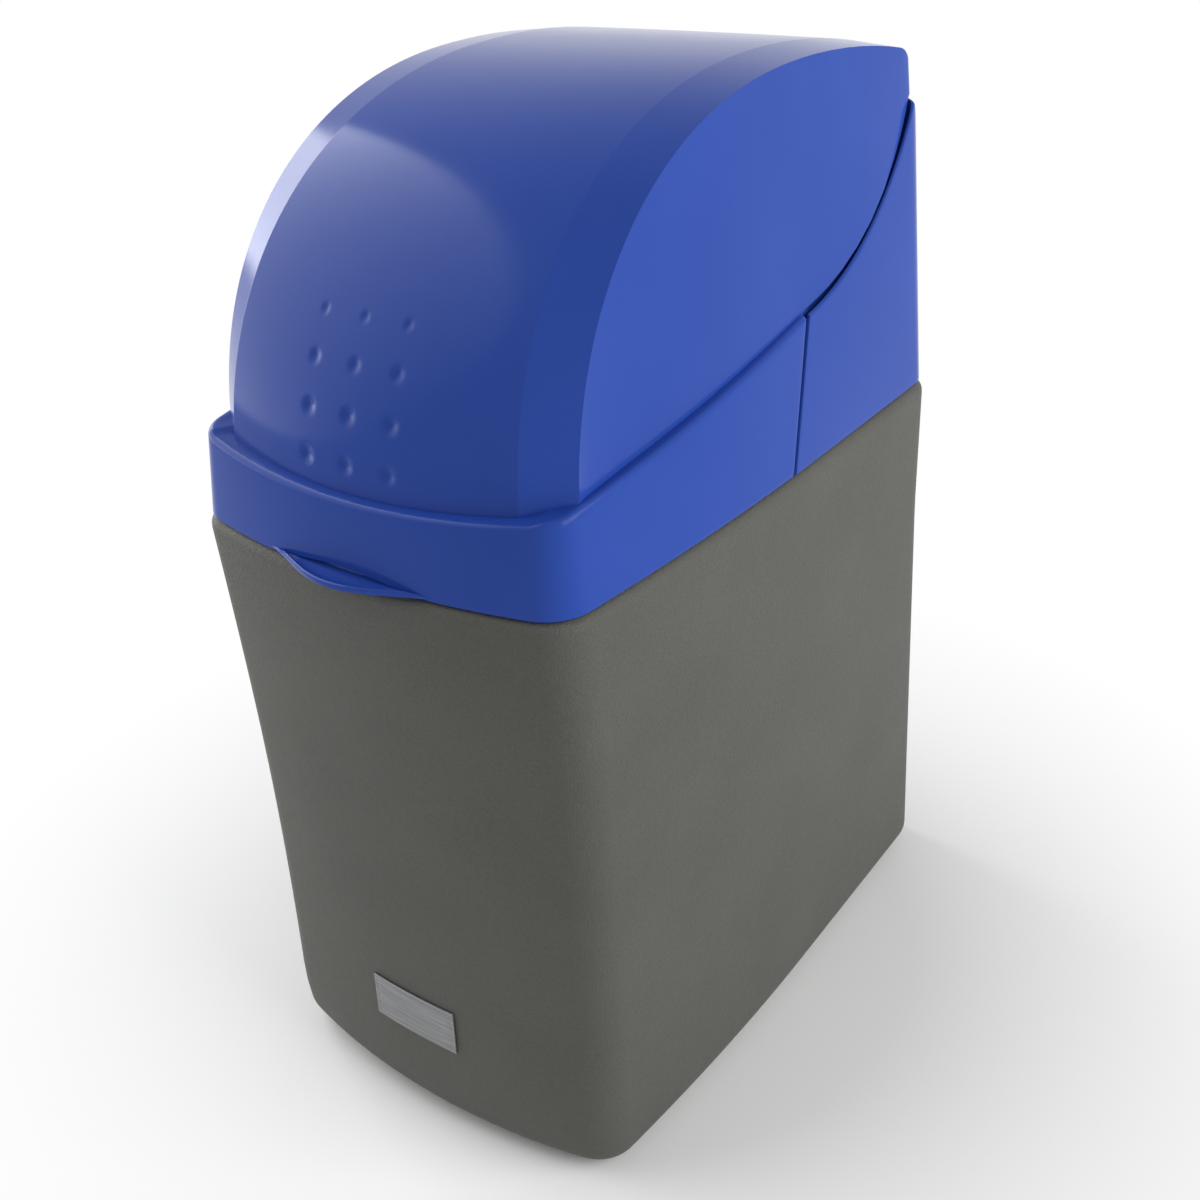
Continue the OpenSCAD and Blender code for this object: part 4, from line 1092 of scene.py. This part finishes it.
def make_camera():
    cam = bpy.data.cameras.new("photo_camera")
    cam.sensor_width = SENSOR
    cam.sensor_fit = "HORIZONTAL"
    cam.lens = SENSOR * FOCAL_PX / PHOTO_PX
    cam.clip_start = 0.01
    obj = bpy.data.objects.new("photo_camera", cam)
    bpy.context.collection.objects.link(obj)
    m = Matrix((CAMERA_RIGHT, -Vector(CAMERA_DOWN), -Vector(CAMERA_AHEAD))).transposed().to_4x4()
    m.translation = in_metres(CAMERA_PLACE)
    obj.matrix_world = m
    bpy.context.scene.camera = obj


def maths(nt, operation, a, b):
    node = nt.nodes.new("ShaderNodeMath")
    node.operation = operation
    nt.links.new(a, node.inputs[0])
    nt.links.new(b, node.inputs[1])
    return node.outputs["Value"]


def seen_rays(nt):
    """1 for a camera, glossy or transmission ray, and 0 for any other."""
    path = nt.nodes.new("ShaderNodeLightPath")
    seen = maths(nt, "MAXIMUM", path.outputs["Is Camera Ray"], path.outputs["Is Glossy Ray"])
    return maths(nt, "MAXIMUM", seen, path.outputs["Is Transmission Ray"])


def mix_out(nt, share, first, second, output):
    mix = nt.nodes.new("ShaderNodeMixShader")
    nt.links.new(share, mix.inputs["Fac"])
    nt.links.new(first, mix.inputs[1])
    nt.links.new(second, mix.inputs[2])
    nt.links.new(mix.outputs["Shader"], nt.nodes[output].inputs["Surface"])


def make_floor():
    """Pale floor that fades to plain white away from the object."""
    bpy.ops.object.select_all(action="DESELECT")
    bpy.ops.mesh.primitive_plane_add(size=FLOOR_SIZE, location=(0, 0, -FLOOR_GAP))
    floor = bpy.context.active_object
    floor.name = "studio_floor"
    mat, nt, bsdf, coord = finish("pale_floor")
    tone = noise(nt, coord, 3, 2.0)
    tint(nt, bsdf, tone.outputs["Fac"], (0.93, 0.93, 0.93), (0.95, 0.95, 0.95))
    bsdf.inputs["Roughness"].default_value = 0.9
    away = nt.nodes.new("ShaderNodeVectorMath")
    away.operation = "LENGTH"
    nt.links.new(coord.outputs["Object"], away.inputs[0])
    fade = nt.nodes.new("ShaderNodeMapRange")
    fade.inputs["From Min"].default_value = FLOOR_FADE[0]
    fade.inputs["From Max"].default_value = FLOOR_FADE[1]
    nt.links.new(away.outputs["Value"], fade.inputs["Value"])
    white = nt.nodes.new("ShaderNodeEmission")
    white.inputs["Strength"].default_value = 1.0
    share = maths(nt, "MULTIPLY", fade.outputs["Result"], seen_rays(nt))
    mix_out(nt, share, bsdf.outputs["BSDF"], white.outputs["Emission"], "Material Output")
    floor.data.materials.append(mat)


def make_world():
    """White where it is seen, with a weaker fill on the object."""
    world = bpy.data.worlds.new("studio")
    bpy.context.scene.world = world
    world.use_nodes = True
    nt = world.node_tree
    fill = nt.nodes["Background"]
    fill.inputs["Color"].default_value = (1, 1, 1, 1)
    fill.inputs["Strength"].default_value = FILL
    clear = nt.nodes.new("ShaderNodeBackground")
    clear.inputs["Color"].default_value = (1, 1, 1, 1)
    clear.inputs["Strength"].default_value = 1.0
    mix_out(nt, seen_rays(nt), fill.outputs["Background"], clear.outputs["Background"], "World Output")


def lamp(name, place, target, size, watts, shape="RECTANGLE"):
    data = bpy.data.lights.new(name, "AREA")
    data.shape = shape
    data.size, data.size_y = size
    data.energy = watts
    obj = bpy.data.objects.new(name, data)
    bpy.context.collection.objects.link(obj)
    obj.location = place
    obj.rotation_euler = (Vector(target) - Vector(place)).to_track_quat("-Z", "Y").to_euler()
    return data


def fade_down(data, upper, lower):
    """Softbox whose cloth is brightest along its upper edge."""
    data.use_nodes = True
    nt = data.node_tree
    place = nt.nodes.new("ShaderNodeNewGeometry")
    split = nt.nodes.new("ShaderNodeSeparateXYZ")
    nt.links.new(place.outputs["Parametric"], split.inputs["Vector"])
    strength = spread(nt, split.outputs["X"], upper, lower)
    nt.links.new(strength, nt.nodes["Emission"].inputs["Strength"])


def make_lamps():
    left = lamp("left_softbox", (-1.45, -0.69, 0.956), (-0.325, -0.39, 0.011), (2.7, 2.25), 31, "ELLIPSE")
    fade_down(left, 2.2, 0.0)
    lamp("right_softbox", (1.5, 0.15, 0.9), (0, 0, 0.3), (1.2, 1.4), 21)


make_camera()
make_floor()
make_world()
make_lamps()
dress_nodes()
BLUE = gloss_blue()
dress(make_cabinet(), grained_grey(), "softener", "grained_plastic", "cabinet")
dress(make_lid(), BLUE, "lid", "hood_gloss", "lid")
dress(make_cover(), BLUE, "softener", "hood_gloss", "rear_cover")
dress(make_label(), brushed_label(), "softener", "label_metal", "label_plate")

scene = bpy.context.scene
scene.view_settings.view_transform = "Standard"
bpy.ops.object.select_all(action="DESELECT")
